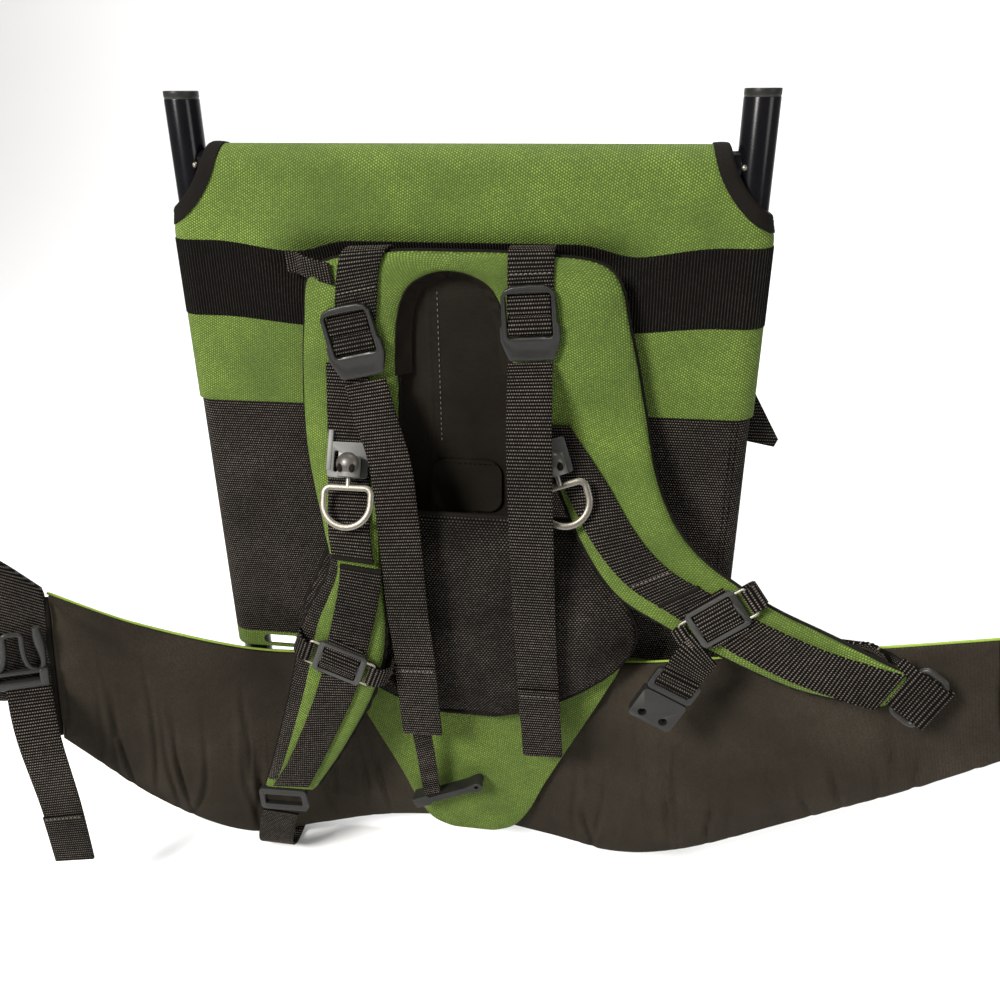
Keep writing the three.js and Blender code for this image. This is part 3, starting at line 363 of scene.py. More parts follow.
def wide_band(table):
    rows = np.array(table, float)
    return Band(rows[:, :3], rows[:, 3:6], rows[:, 6])


def shield_band(table, y):
    rows = np.array(table, float)
    level = np.full(len(rows), y)
    left, right = (np.column_stack((LUMBAR_X + sign * rows[:, 1], level, rows[:, 0])) for _, sign in SIDES)
    return Band(left, right, rows[:, 2])


class Place:
    """A piece's own axes: across, along and out of its face."""

    def __init__(self, centre, across, along, normal):
        self.centre = np.asarray(centre, float)
        self.axes = np.array((across, along, normal), float)

    def at(self, points):
        return self.centre + np.asarray(points, float) @ self.axes

    def seat(self, rows, sideways=False):
        """A seat for webbing that runs along the piece, or sideways, through rows of a length and a rise."""
        table = np.array(rows, float)
        wide = self.axes[1] * np.sign(table[-2, 0] - table[0, 0]) if sideways else self.axes[0]
        axes = self.axes[[0 if sideways else 1, 2]]

        def seat(v):
            at = v * (len(table) - 1)
            ahead = (smooth(table, at + 0.02) - smooth(table, at - 0.02)) @ axes
            side = np.tile(wide, (len(v), 1))
            return self.centre + smooth(table, at) @ axes, side, unit(np.cross(ahead, side))
        return seat


def lock_place(x, z, tilt):
    turn = math.radians(tilt)
    return Place((x, LOCK_BACK_Y, z), (math.cos(turn), 0, math.sin(turn)), (-math.sin(turn), 0, math.cos(turn)),
                 (0, -1, 0))


def slider_place(row, lift, shift, tilt):
    centre, across, along, normal, half, thick = harness_band().at_row(row)
    turn = math.radians(tilt)
    return Place(centre + across * shift * half + normal * (thick / 2 + GAP + WEB_THICK + lift),
                 across * math.cos(turn) + along * math.sin(turn),
                 along * math.cos(turn) - across * math.sin(turn), normal), half[0], thick[0]


# Meshes.
def node_place(node, towards):
    """The axes of a flat CAD piece from its points. Along is the short one of its face, towards a direction."""
    points = in_table(frame["nodes"][node].data)
    centre = (points.max(axis=0) + points.min(axis=0)) / 2
    _, _, axes = np.linalg.svd(points - points.mean(axis=0), full_matrices=False)
    along = axes[1] * np.sign(axes[1] @ np.asarray(towards, float))
    normal = axes[2] * np.where(axes[2][1] > 0, -1, 1)
    place = Place(centre, np.cross(along, normal), along, normal)
    local = (points - centre) @ place.axes.T
    place.centre = centre + ((local.max(axis=0) + local.min(axis=0)) / 2) @ place.axes
    return place, (local.max(axis=0) - local.min(axis=0)) / 2


def deselect():
    if bpy.context.object and bpy.context.object.mode != "OBJECT":
        bpy.ops.object.mode_set(mode="OBJECT")
    bpy.ops.object.select_all(action="DESELECT")


def select_only(piece):
    deselect()
    piece.select_set(True)
    bpy.context.view_layer.objects.active = piece


def points_of(mesh):
    flat = np.zeros(len(mesh.vertices) * 3)
    mesh.vertices.foreach_get("co", flat)
    return flat.reshape(-1, 3)


def set_points(mesh, points):
    mesh.vertices.foreach_set("co", np.ascontiguousarray(points, float).ravel())
    mesh.update()


def in_part(points):
    """Table millimetres to metres in the part's frame."""
    return (np.asarray(points, float) + BACK_REST) * MM


def in_table(mesh):
    """A mesh's points in table millimetres."""
    return points_of(mesh) / MM - BACK_REST


def primitive(kind, name, **values):
    """One of Blender's primitives, with its place applied."""
    deselect()
    getattr(bpy.ops.mesh, f"primitive_{kind}_add")(**values)
    piece = bpy.context.object
    piece.name = name
    bpy.ops.object.transform_apply()
    return piece


def shaped_grid(name, across, along, shape):
    """A grid whose points shape(u, v) puts in place. Its UV map holds lengths along the cloth in metres."""
    deselect()
    bpy.ops.mesh.primitive_grid_add(x_subdivisions=across, y_subdivisions=along, size=1)
    piece = bpy.context.object
    piece.name = piece.data.name = name
    mesh = piece.data
    start = points_of(mesh)
    points, lengths = shape(start[:, 0] + 0.5, start[:, 1] + 0.5)
    set_points(mesh, in_part(points))
    corner = np.zeros(len(mesh.loops), int)
    mesh.loops.foreach_get("vertex_index", corner)
    mesh.uv_layers[0].data.foreach_set("uv", (lengths[corner] * MM).ravel())
    return piece


def lengths_along(path):
    """How far along a path each share of it lies."""
    share = np.linspace(0, 1, 200)
    run = run_along(path(share))
    return lambda v: np.interp(v, share, run)


def edit(piece, *steps):
    """Edit mode on the whole piece, one operator after another."""
    select_only(piece)
    bpy.ops.object.mode_set(mode="EDIT")
    bpy.ops.mesh.select_mode(type="VERT")
    for step in steps:
        bpy.ops.mesh.select_all(action="SELECT")
        step()
    bpy.ops.object.mode_set(mode="OBJECT")


def merge():
    bpy.ops.mesh.remove_doubles(threshold=0.00002)


def outward():
    bpy.ops.mesh.normals_make_consistent(inside=False)


def close_ends():
    bpy.ops.mesh.select_all(action="DESELECT")
    bpy.ops.mesh.select_non_manifold(extend=False)
    bpy.ops.mesh.fill_holes(sides=0)


def edit_picked(piece, kind, elements, picked, step):
    """One edit on the picked edges or faces of a piece that has just been made."""
    bpy.ops.object.mode_set(mode="EDIT")
    bpy.ops.mesh.select_all(action="DESELECT")
    bpy.ops.object.mode_set(mode="OBJECT")
    for element in getattr(piece.data, elements):
        element.select = picked(element)
    bpy.ops.object.mode_set(mode="EDIT")
    bpy.ops.mesh.select_mode(type=kind)
    step()
    bpy.ops.object.mode_set(mode="OBJECT")


def face_values(piece, kind):
    values = np.zeros(len(piece.data.polygons) * 3)
    piece.data.polygons.foreach_get(kind, values)
    return values.reshape(-1, 3)


def face_to(piece, direction):
    """Turns an open sheet's faces to look along a direction."""
    if face_values(piece, "normal").mean(axis=0) @ np.asarray(direction, float) < 0:
        edit(piece, bpy.ops.mesh.flip_normals)


def modify(piece, kind, **values):
    select_only(piece)
    modifier = piece.modifiers.new(kind.lower(), kind)
    for key, value in values.items():
        setattr(modifier, key, value)
    bpy.ops.object.modifier_apply(modifier=modifier.name)


def thicken(piece, thickness, bevel=0.0):
    """Gives a sheet its thickness on the side that it faces, with softened rims."""
    modify(piece, "SOLIDIFY", thickness=thickness * MM, offset=1.0)
    if bevel:
        modify(piece, "BEVEL", width=bevel * MM, segments=2, limit_method="ANGLE", angle_limit=math.radians(70))


def ribs(run, pitch):
    """Rise of webbing's cross ribs along its length."""
    return -sizes().rise / MM * np.cos(2 * math.pi * run / pitch)


def finish(piece, cloths, node=None, body="harness", angle=40):
    """Smooth shading, materials and the piece's place in the frame."""
    select_only(piece)
    bpy.ops.object.shade_smooth_by_angle(angle=math.radians(angle))
    names = cloths.split()
    for name in names:
        piece.data.materials.append(MATERIALS[name])
    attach(piece, body)
    if node:
        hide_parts(node)


def swell(piece, pinned, cap):
    """Blows a sewn cover up with its seams held. No point moves further than the cap, in millimetres."""
    select_only(piece)
    before = points_of(piece.data).copy()
    group = piece.vertex_groups.new(name="seams")
    group.add([int(i) for i in np.flatnonzero(pinned)], 1.0, "REPLACE")
    cloth = piece.modifiers.new("swell", "CLOTH")
    for key, value in SWELL.items():
        setattr(cloth.settings, key, value)
    cloth.settings.vertex_group_mass = group.name
    cloth.settings.effector_weights.gravity = 0
    cloth.point_cache.frame_start = 1
    cloth.point_cache.frame_end = SWELL_FRAMES
    scene = bpy.context.scene
    for step in range(1, SWELL_FRAMES + 1):
        scene.frame_set(step)
    bpy.ops.object.modifier_apply(modifier=cloth.name)
    scene.frame_set(1)
    move = points_of(piece.data) - before
    size = np.linalg.norm(move, axis=1, keepdims=True)
    set_points(piece.data, before + move * np.minimum(1, cap * MM / np.maximum(size, 1e-9)))
    piece.vertex_groups.clear()


def near_rims(piece, band, count, reach):
    """A piece's points, and which of them lie near the edges of its band, in millimetres."""
    points = in_table(piece.data)
    rows = np.linspace(0, band.last, count)
    rims = np.vstack((smooth(band.outer, rows), smooth(band.inner, rows)))
    near = np.array([np.min(((rims - p) ** 2).sum(axis=1)) for p in points])
    return points, near < reach ** 2


def padded_tube(name, band, around, along, squareness, blunt, wave=None, turned=False):
    """A closed padded band. Its ends are rounded over a length of blunt millimetres."""
    length = lengths_along(lambda v: band.middle(band.last * v))
    total = length(1.0)
    folds = []

    def shape(u, v):
        centre, across, _, normal, half, thick = band.frame(band.last * v)
        angle = 2 * math.pi * u
        side = np.sign(np.cos(angle)) * np.abs(np.cos(angle)) ** squareness
        face = np.sign(np.sin(angle)) * np.abs(np.sin(angle)) ** squareness
        near = np.minimum(length(v), total - length(v))
        end = np.sqrt(np.clip(1 - (1 - np.minimum(near / blunt, 1)) ** 2, 0.0004, 1))
        depth = thick[:, 0] / 2 * face * end
        wide = half[:, 0] * side * (1 - 0.08 * (1 - end))
        if wave is not None:
            folds.append(normal * (face * end * wave(wide, length(v), face))[:, None])
        points = centre + across * wide[:, None] + normal * depth[:, None]
        return points, np.column_stack((length(v), wide) if turned else (wide, length(v)))

    piece = shaped_grid(name, around, along, shape)
    if folds:
        keep_folds(piece, folds[0])
    edit(piece, merge, close_ends, outward)
    return piece


def keep_folds(piece, moves):
    """Notes how far each point is to move, in millimetres, once the piece has its thickness or padding."""
    piece.data.attributes.new("fold", "FLOAT_VECTOR", "POINT").data.foreach_set("vector", (moves * MM).ravel())


def fold(piece):
    """Moves a piece's points as noted by keep_folds."""
    kept = piece.data.attributes["fold"]
    moves = np.zeros(len(piece.data.vertices) * 3)
    kept.data.foreach_get("vector", moves)
    set_points(piece.data, points_of(piece.data) + moves.reshape(-1, 3))
    piece.data.attributes.remove(piece.data.attributes["fold"])


def webbing(name, width, seat, node=None, thickness=WEB_THICK):
    """Ribbed webbing: seat(v) gives the middle of its back face, its direction across and its normal."""
    length = lengths_along(lambda v: seat(v)[0])
    pitch = sizes().rib / MM
    moves = []

    def shape(u, v):
        centre, side, normal = seat(v)
        moves.append(normal * ribs(length(v), pitch)[:, None])
        return centre + side * ((u - 0.5) * width)[:, None], np.column_stack((u * width, length(v)))

    piece = shaped_grid(name, 4, int(length(1.0) / pitch * RIB_STEPS), shape)
    keep_folds(piece, moves[0])
    face_to(piece, seat(np.array((0.5,)))[2][0])
    thicken(piece, thickness, 0.35)
    fold(piece)
    finish(piece, "webbing", node, angle=60)


def sewn_seat(band, first, last, lift, shift_first, shift_last):
    def seat(v):
        centre, across, _, normal, half, thick = band.frame(first + (last - first) * v)
        shift = (shift_first + (shift_last - shift_first) * v)[:, None]
        return centre + across * shift * half + normal * (thick / 2 + lift), across, normal
    return seat


def hanging_seat(rows):
    table = np.array(rows, float)

    def seat(v):
        at = v * (len(table) - 1)
        values = smooth(table, at)
        lean, turn = np.radians(values[:, 3]), np.radians(values[:, 4])
        across = np.column_stack((np.cos(lean) * np.cos(turn), np.sin(turn), np.sin(lean) * np.cos(turn)))
        ahead = smooth(table[:, :3], at + 0.02) - smooth(table[:, :3], at - 0.02)
        return values[:, :3], across, unit(np.cross(ahead, across))
    return seat


def through(points):
    """A path through points, by its length."""
    points = np.asarray(points, float)
    run = run_along(points)
    return lambda v: np.column_stack([np.interp(np.asarray(v) * run[-1], run, column) for column in points.T])


def joined(name, *pieces):
    """Several meshes as one piece."""
    select_only(pieces[0])
    for piece in pieces[1:]:
        piece.select_set(True)
    bpy.ops.object.join()
    pieces[0].name = pieces[0].data.name = name
    return pieces[0]


def round_bar(name, path, radius, sides, steps, closed=False, facing=(0, -1, 0), flat=1.0):
    """A round bar or wire along a path, flattened towards the direction that it faces."""
    length = lengths_along(path)

    def shape(u, v):
        middle = path(v)
        step = 0.002
        ahead = unit(path((v + step) % 1.0 if closed else np.minimum(v + step, 1))
                     - path((v - step) % 1.0 if closed else np.maximum(v - step, 0)))
        side = unit(np.cross(ahead, np.asarray(facing, float)))
        out = np.cross(side, ahead) * flat
        angle = 2 * math.pi * u
        reach = radius(v) if callable(radius) else np.full_like(v, radius)
        points = middle + reach[:, None] * (side * np.cos(angle)[:, None] + out * np.sin(angle)[:, None])
        return points, np.column_stack((u * 2 * math.pi * reach, length(v)))

    piece = shaped_grid(name, sides, steps, shape)
    edit(piece, merge, *(() if closed else (close_ends,)), outward)
    return piece


def stitches(name, centre, ahead, normal, size, cloth="thread"):
    """A row of stitches, each a bead of thread with a length, width and height."""
    ahead, normal = (np.broadcast_to(np.asarray(v, float), centre.shape) for v in (ahead, normal))
    piece = primitive("uv_sphere", name, segments=6, ring_count=4, radius=0.5)
    bead = points_of(piece.data) * size
    faces = np.array([(*f.vertices, *f.vertices[:1])[:4] for f in piece.data.polygons])
    axes = np.stack((unit(ahead), unit(np.cross(normal, ahead)), unit(normal)), axis=1)
    points = centre[:, None, :] + np.einsum("bk,skx->sbx", bead, axes)
    copies = [[tuple(dict.fromkeys(face)) for face in (faces + i * len(bead)).tolist()] for i in range(len(centre))]
    piece.data.clear_geometry()
    piece.data.from_pydata(in_part(points.reshape(-1, 3)).tolist(), [], sum(copies, []))
    edit(piece, outward)
    finish(piece, cloth, angle=80)


def stitch_line(name, seat, share, width, lift):
    """Stitches across webbing, at a share of its length."""
    count = STITCHES_ACROSS
    centre, side, normal = seat(np.full(count, float(share)))
    place = (np.arange(count) - (count - 1) / 2) / count * (width - 2.0)
    step = sizes().stitch / MM
    stitches(name, centre + side * place[:, None] + normal * lift, side, normal, (step * 0.85, 0.75, 0.6))


def moulded(node, name, edge):
    """A copy of a hard CAD node with its edges rounded."""
    piece = bpy.data.objects.new(name, frame["nodes"][node].data.copy())
    bpy.context.scene.collection.objects.link(piece)
    piece.data.materials.clear()
    edit(piece, merge, lambda: bpy.ops.mesh.dissolve_limited(angle_limit=math.radians(2)))
    modify(piece, "BEVEL", width=edge, segments=3, limit_method="ANGLE", angle_limit=math.radians(40))
    return piece


# Materials.
def add(tree, kind, inputs=(), **settings):
    """A shader node with its settings. Its inputs take values or other nodes' outputs."""
    node = tree.nodes.new(f"ShaderNode{kind}")
    for key, value in settings.items():
        setattr(node, key, value)
    for key, value in dict(inputs).items():
        if isinstance(value, bpy.types.NodeSocket):
            tree.links.new(value, node.inputs[key])
        else:
            node.inputs[key].default_value = value
    return node.outputs


def calculate(tree, operation, *values):
    return add(tree, "Math", enumerate(values), operation=operation)[0]


def group_of(name, inputs, outputs):
    tree = bpy.data.node_groups.new(name, "ShaderNodeTree")
    for label, kind in inputs.items():
        tree.interface.new_socket(label, in_out="INPUT", socket_type=f"NodeSocket{kind}")
    for label in outputs:
        tree.interface.new_socket(label, in_out="OUTPUT", socket_type="NodeSocketFloat")
    return tree, tree.nodes.new("NodeGroupInput").outputs, tree.nodes.new("NodeGroupOutput").inputs


def thread_cells_group():
    """Threads in rows of cells, each row shifted by half a cell from the last: how high they stand across and along
    the row, and a tone for each thread."""
    tree, source, result = group_of(
        "thread_cells", {"Vector": "Vector", "Cell Width": "Float", "Cell Height": "Float"},
        ("Across", "Along", "Tone"))
    place = add(tree, "SeparateXYZ", {0: source["Vector"]})
    row = calculate(tree, "DIVIDE", place[1], source["Cell Height"])
    number = calculate(tree, "FLOOR", row)
    column = calculate(tree, "ADD", calculate(tree, "DIVIDE", place[0], source["Cell Width"]),
                       calculate(tree, "MULTIPLY", number, 0.5))
    for label, at in (("Across", column), ("Along", row)):
        wave = calculate(tree, "COSINE", calculate(tree, "MULTIPLY", at, 2 * math.pi))
        tree.links.new(calculate(tree, "SUBTRACT", 0.5, calculate(tree, "MULTIPLY", wave, 0.5)), result[label])
    cell = add(tree, "CombineXYZ", {0: calculate(tree, "FLOOR", column), 1: number})
    noise = add(tree, "TexWhiteNoise", {"Vector": cell[0]}, noise_dimensions="2D")
    tree.links.new(noise["Value"], result["Tone"])


def uneven_group():
    """Slow random changes of tone over a piece. On the cloths they are painted patches of light and shade; on the rings
    they stand for wear, and elsewhere they are a slightly uneven tone.
    """
    tree, source, result = group_of("uneven_tone", {"Scale": "Float"}, ("Tone",))
    place = add(tree, "TexCoord")["Object"]
    noise = add(tree, "TexNoise", {"Vector": place, "Scale": source["Scale"], "Detail": 5.0, "Roughness": 0.6})
    tone = add(tree, "MapRange", {"Value": noise["Fac"], "From Min": 0.3, "From Max": 0.7})
    tree.links.new(tone["Result"], result["Tone"])


class Finish:
    """One material in the making."""

    def __init__(self, name, roughness, metallic=0.0, gloss=0.5):
        self.material = bpy.data.materials.new(name)
        self.material.use_nodes = True
        self.tree = self.material.node_tree
        self.shader = self.tree.nodes["Principled BSDF"].inputs
        for key, value in (("Roughness", roughness), ("Metallic", metallic), ("Specular IOR Level", gloss)):
            self.shader[key].default_value = value

    def group(self, name, inputs):
        return add(self.tree, "Group", inputs, node_tree=bpy.data.node_groups[name])

    def mix(self, share, first, second):
        return add(self.tree, "Mix", {0: share, 6: first, 7: second}, data_type="RGBA")[2]

    def uneven(self, scale, first, second):
        """A colour that wanders between two."""
        return self.mix(self.group("uneven_tone", {"Scale": scale})["Tone"], first, second)

    def surface(self, colour, height=None, distance=0.0):
        """The finished material, with a bump of a distance in metres."""
        self.tree.links.new(colour, self.shader["Base Color"])
        if height is not None:
            bump = add(self.tree, "Bump", {"Height": height, "Distance": distance, "Strength": 1.0})
            self.tree.links.new(bump["Normal"], self.shader["Normal"])
        return self.material


def tint(colour, times):
    return (*(min(1.0, c * times) for c in colour[:3]), 1)


def woven(name, colour, dark, cell, peaks, depth, turn=0.0, spread=0.4, gloss=0.05, patch=14.0):
    """A woven cloth with cells of a width and height in metres. Its threads are lightest on their crowns and darkest
    between them, which on the webbing, band and mesh is a painted highlight on each crown and painted shade in the
    gaps.
    """
    made = Finish(name, 0.8, gloss=gloss)
    place = add(made.tree, "Mapping", {
        "Vector": add(made.tree, "TexCoord")["UV"], "Rotation": (0, 0, math.radians(turn))})
    threads = made.group("thread_cells", {"Vector": place["Vector"], "Cell Width": cell[0], "Cell Height": cell[1]})
    # The light colour wanders slowly over the piece: painted patches of light and shade.
    light = made.uneven(patch, tint(colour, 1 - spread), tint(colour, 1 + spread))
    # Crown: how high a point stands on its thread. It sets the bump, and the painted highlight on the crown and the
    # painted shade in the gaps.
    crown = calculate(made.tree, "MULTIPLY", calculate(made.tree, "POWER", threads["Across"], peaks[0]),
                      calculate(made.tree, "POWER", threads["Along"], peaks[1]))
    tone = calculate(made.tree, "ADD", calculate(made.tree, "MULTIPLY", threads["Tone"], 0.45), 0.55)
    return made.surface(made.mix(calculate(made.tree, "MULTIPLY", crown, tone), tuple(dark), light), crown, depth)


def moulded_finish(name, colour, roughness, metallic=0.0, grain=900.0, gloss=0.28):
    """A moulded or cast surface with a fine grain and lighter edges: painted highlights where the edges are sharpest.
    """
    made = Finish(name, roughness, metallic, gloss)
    noise = add(made.tree, "TexNoise", {"Vector": add(made.tree, "TexCoord")["Object"], "Scale": grain})
    # Pointiness picks the sharp edges, which get a painted highlight 3.2 times as light as the base colour.
    edge = add(made.tree, "MapRange", {
        "Value": add(made.tree, "NewGeometry")["Pointiness"], "From Min": 0.52, "From Max": 0.62})
    base = made.uneven(60.0, tint(colour, 0.8), tint(colour, 1.25))
    return made.surface(made.mix(edge["Result"], base, tint(colour, 3.2)), noise["Fac"], 0.00006)


def make_materials():
    thread_cells_group()
    uneven_group()
    c, s = colours(), sizes()
    # gap_shade is the near-black painted shade in the gaps between ribs and cells.
    gap_shade, fine, even = tint(c.webbing, 0.012), (0.0008, 0.0007), (0.5, 0.5)
    made = {
        "green": woven("green_cloth", c.green, c.green_dark, (s.weave * 1.1, s.weave), (0.75, 0.75), 0.0003, turn=35,
                       spread=0.42, gloss=0.2, patch=20.0),
        "webbing": woven("ribbed_webbing", tint(c.webbing, 1.75), gap_shade, (0.0014, s.rib), (1.3, 3.6), 0.0004, spread=0.5),
        "band": woven("ribbed_band", tint(c.webbing, 0.3), gap_shade, (0.0012, s.band_rib), (0.3, 3.4), 0.0004),
        "end": woven("ribbed_end", tint(c.webbing, 0.85), gap_shade, (0.0012, 0.002), (0.3, 2.4), 0.0003),
        "piping": woven("green_piping", tint(c.green, 2.0), tint(c.green, 1.0), fine, even, 0.0001),
        "tape": woven("smooth_tape", tint(c.webbing, 0.12), tint(c.webbing, 0.04), fine, even, 0.0001),
        "mesh": woven("ribbed_mesh", tint(c.webbing, 1.8), gap_shade, (0.0015, s.mesh), (1.5, 2.3), 0.0006, spread=0.55),
        "spacer": woven("spacer_mesh", tint(c.webbing, 1.0), gap_shade, (0.0021, 0.0015), (1.3, 1.7), 0.0006, spread=0.8,
                        patch=22.0),
        "lining": woven("soft_lining", tint(c.lining, 1.2), tint(c.lining, 0.3), fine, even, 0.0001, spread=0.45),
        "spine": woven("spine_lining", tint(c.lining, 0.5), tint(c.lining, 0.15), fine, even, 0.0001, spread=0.6),
        "plastic": moulded_finish("moulded_plastic", tuple(c.plastic), 0.36),
        "bracket": moulded_finish("moulded_bracket", tuple(c.bracket), 0.45),
        "metal": moulded_finish("gunmetal", tuple(c.metal), 0.42, 0.9, grain=1500.0),
        # Dark boss, with the painted edge highlights of every moulded finish.
        "boss": moulded_finish("worn_boss", (0.045, 0.04, 0.034), 0.35, gloss=0.5),
        "thread": woven("stitch_thread", c.thread, tint(c.thread, 0.3), (0.0009, 0.0005), even, 0.0001),
    }
    tube = Finish("gloss_tube", 0.2, gloss=0.12)
    made["tube"] = tube.surface(tube.uneven(35.0, (0.002, 0.002, 0.003, 1), (0.005, 0.005, 0.006, 1)))
    return made


MATERIALS = {}


# Stage.
def area_light(name, place, target, size, power, colour=(1, 1, 1)):
    deselect()
    bpy.ops.object.light_add(type="AREA", location=place)
    light = bpy.context.object
    light.name = name
    light.data.shape = "DISK"
    light.data.size = size
    light.data.energy = power
    light.data.color = colour
    aim = Vector(target) - Vector(place)
    light.rotation_euler = aim.to_track_quat("-Z", "Y").to_euler()


class HARNESS_OT_stage(bpy.types.Operator):
    """Pale floor, soft light and the camera"""

    bl_idname = "harness.stage"
    bl_label = "Stage"

    def execute(self, context):
        low = CAD_BOX[0][2] - 0.002
        floor = primitive("plane", "stage_floor", size=8, location=(0, -1.2, low))
        back = max(v.co.y for v in floor.data.vertices)
        edit_picked(floor, "EDGE", "edges",
                    lambda edge: all(floor.data.vertices[i].co.y > back - 0.01 for i in edge.vertices),
                    lambda: bpy.ops.mesh.extrude_region_move(TRANSFORM_OT_translate={"value": (0, 0, 5)}))
        modify(floor, "BEVEL", width=1.2, segments=16, limit_method="ANGLE", angle_limit=math.radians(40))
        bpy.ops.object.shade_smooth()
        pale = Finish("pale_floor", 0.9)
        floor.data.materials.append(pale.surface(pale.uneven(0.6, (0.84, 0.84, 0.84, 1), (0.87, 0.87, 0.87, 1))))

        world = context.scene.world or bpy.data.worlds.new("studio")
        context.scene.world = world
        world.use_nodes = True
        sky = world.node_tree.nodes["Background"]
        sky.inputs["Color"].default_value = (1.0, 1.0, 1.0, 1)
        sky.inputs["Strength"].default_value = 0.32
        for values in LIGHTS:
            area_light(*values)

        turn, pitch, roll = (math.radians(a) for a in CAMERA_TURNS)
        ahead = Vector((-math.sin(turn) * math.cos(pitch), math.cos(turn) * math.cos(pitch), -math.sin(pitch)))
        right = Vector((math.cos(turn), math.sin(turn), 0))
        up = right.cross(ahead)
        side = right * math.cos(roll) + up * math.sin(roll)
        top = up * math.cos(roll) - right * math.sin(roll)
        deselect()
        bpy.ops.object.camera_add()
        camera = context.object
        camera.name = "photo_camera"
        camera.matrix_world = Matrix.Translation(CAMERA_PLACE) @ Matrix((side, top, -ahead)).transposed().to_4x4()
        camera.data.sensor_width = 36
        camera.data.lens = CAMERA_LENS
        context.scene.camera = camera
        context.scene.view_settings.view_transform = "Standard"
        return {"FINISHED"}


# Frame.
class HARNESS_OT_frame(bpy.types.Operator):
    """Tubes, caps and crossbars"""

    bl_idname = "harness.frame"
    bl_label = "Frame"

    def execute(self, context):
        for side, sign in SIDES:
            def cylinder(name, level, radius, height, **values):
                return primitive("cylinder", name, vertices=64, radius=radius * MM, depth=height * MM,
                                 location=in_part((sign * TUBE_X, SLEEVE_DEPTH, level)), **values)

            tube = cylinder(f"smooth_tube_{side}", (TUBE_TOP + TUBE_BOTTOM) / 2, TUBE_RADIUS, TUBE_TOP - TUBE_BOTTOM,
                            end_fill_type="NOTHING")
            modify(tube, "SOLIDIFY", thickness=1.5 * MM, offset=-1)
            modify(tube, "BEVEL", width=0.4 * MM, segments=2, limit_method="ANGLE")
            finish(tube, "tube", f"tube_{side}")
            for node, level, up in (("cap", TUBE_TOP, 1), ("foot_cap", TUBE_BOTTOM, -1)):
                cap = cylinder(f"smooth_{node}_{side}", level + up * (CAP_HEIGHT / 2 + GAP), CAP_RADIUS,
                               CAP_HEIGHT - GAP)
                modify(cap, "BEVEL", width=0.7 * MM, segments=4, limit_method="ANGLE")
                edit_picked(cap, "FACE", "polygons", lambda face: face.normal.z * up > 0.99 and face.area > 0.0001,
                            lambda: bpy.ops.mesh.inset(thickness=1.6 * MM, depth=-0.6 * MM))
                plug = cylinder(f"plug_{side}", level + up * 1.2, TUBE_RADIUS - 0.25, 3)
                joined(cap.name, cap, plug)
                finish(cap, "plastic", f"{node}_{side}")
            level = CROSSBAR_LEVELS["crossbar_top"]
            rivet_at = in_part((sign * (TUBE_X - RIVET_IN), SLEEVE_DEPTH - RIVET_AHEAD, level))
            finish(primitive("uv_sphere", f"rivet_{side}", segments=24, ring_count=12, radius=RIVET_RADIUS * MM,
                             location=rivet_at), "metal")
        for name, level in CROSSBAR_LEVELS.items():
            bar = primitive("cylinder", f"smooth_{name}", vertices=48, radius=CROSSBAR_RADIUS * MM,
                            depth=CROSSBAR_LENGTH * MM, location=in_part((0, SLEEVE_DEPTH, level)),
                            rotation=(0, math.pi / 2, 0))
            modify(bar, "BEVEL", width=0.8 * MM, segments=2, limit_method="ANGLE")
            finish(bar, "tube", name)
        return {"FINISHED"}


# Sleeve.
def slot_ring(u, offset):
    """Points round the sleeve's plan, from the middle of the back, and how far along they lie."""
    radius = SLEEVE_DEPTH + offset
    flat, bend = 2 * TUBE_X, math.pi * radius
    run = u * (2 * flat + 2 * bend)
    stops = (flat / 2, flat / 2 + bend, 1.5 * flat + bend, 1.5 * flat + 2 * bend)
    parts = [run < stop for stop in stops]
    left = (run - stops[0]) / radius
    right = (run - stops[2]) / radius
    x = np.select(
        parts, (-run, -TUBE_X - radius * np.sin(left), run - stops[1] - TUBE_X, TUBE_X + radius * np.sin(right)),
        2 * flat + 2 * bend - run)
    y = np.select(
        parts, (np.full_like(run, radius), radius * np.cos(left), np.full_like(run, -radius), -radius * np.cos(right)),
        radius)
    return x, y + SLEEVE_DEPTH, run


def slack(x, y, z, depth, seed):
    """How far the cloth pulls in between the tubes, with shallow waves, and is pressed in above the yoke."""
    middle = np.cos(np.clip(x / TUBE_X, -1, 1) * math.pi / 2)
    inward = np.where(y < SLEEVE_DEPTH, 1, -1)
    under = ease((PRESS_HALF - np.abs(x)) / PRESS_FADE)
    press = PRESS_DEPTH * under * np.exp(-((z - PRESS_LEVEL) / PRESS_WIDTH) ** 2) * (y < SLEEVE_DEPTH)
    return inward * (middle * (depth + 0.5 * ripple(x, z * 1.6, seed)) + press)


def sleeve_wall(name, low, high, along):
    def shape(u, v):
        x, y, run = slot_ring(u, -SLEEVE_THICK)
        z = low + (high - low) * v
        return np.column_stack((x, y + slack(x, y, z, 0.8, 5), z)), np.column_stack((run, z))

    piece = shaped_grid(name, 220, along, shape)
    edit(piece, merge, outward)
    thicken(piece, SLEEVE_THICK, 0.3)
    return piece


def side_reach(z):
    """How far the sleeve stands out past a tube's middle. It hugs the tube where its corner is cut."""
    return SLEEVE_DEPTH - 2.5 * ease((z + CUT_DROP + 12) / 12)


def front_depth(x, z):
    """Depth of the sleeve's front face at a place, where it turns round the tubes and over the top."""
    radius = SLEEVE_DEPTH
    out = np.clip((np.abs(x) - TUBE_X) * radius / side_reach(z), 0, radius)
    over = np.clip(z + radius, 0, radius)
    reach = np.minimum(np.hypot(out, over), radius)
    return radius - np.sqrt(radius ** 2 - reach ** 2)


def cut_reach(z):
    """How far a corner cut-out reaches in at a height."""
    return CUT_HALF * np.clip(1 - np.clip(-z / CUT_DROP, 0, 1) ** CUT_POWER, 0, None) ** (1 / CUT_POWER)


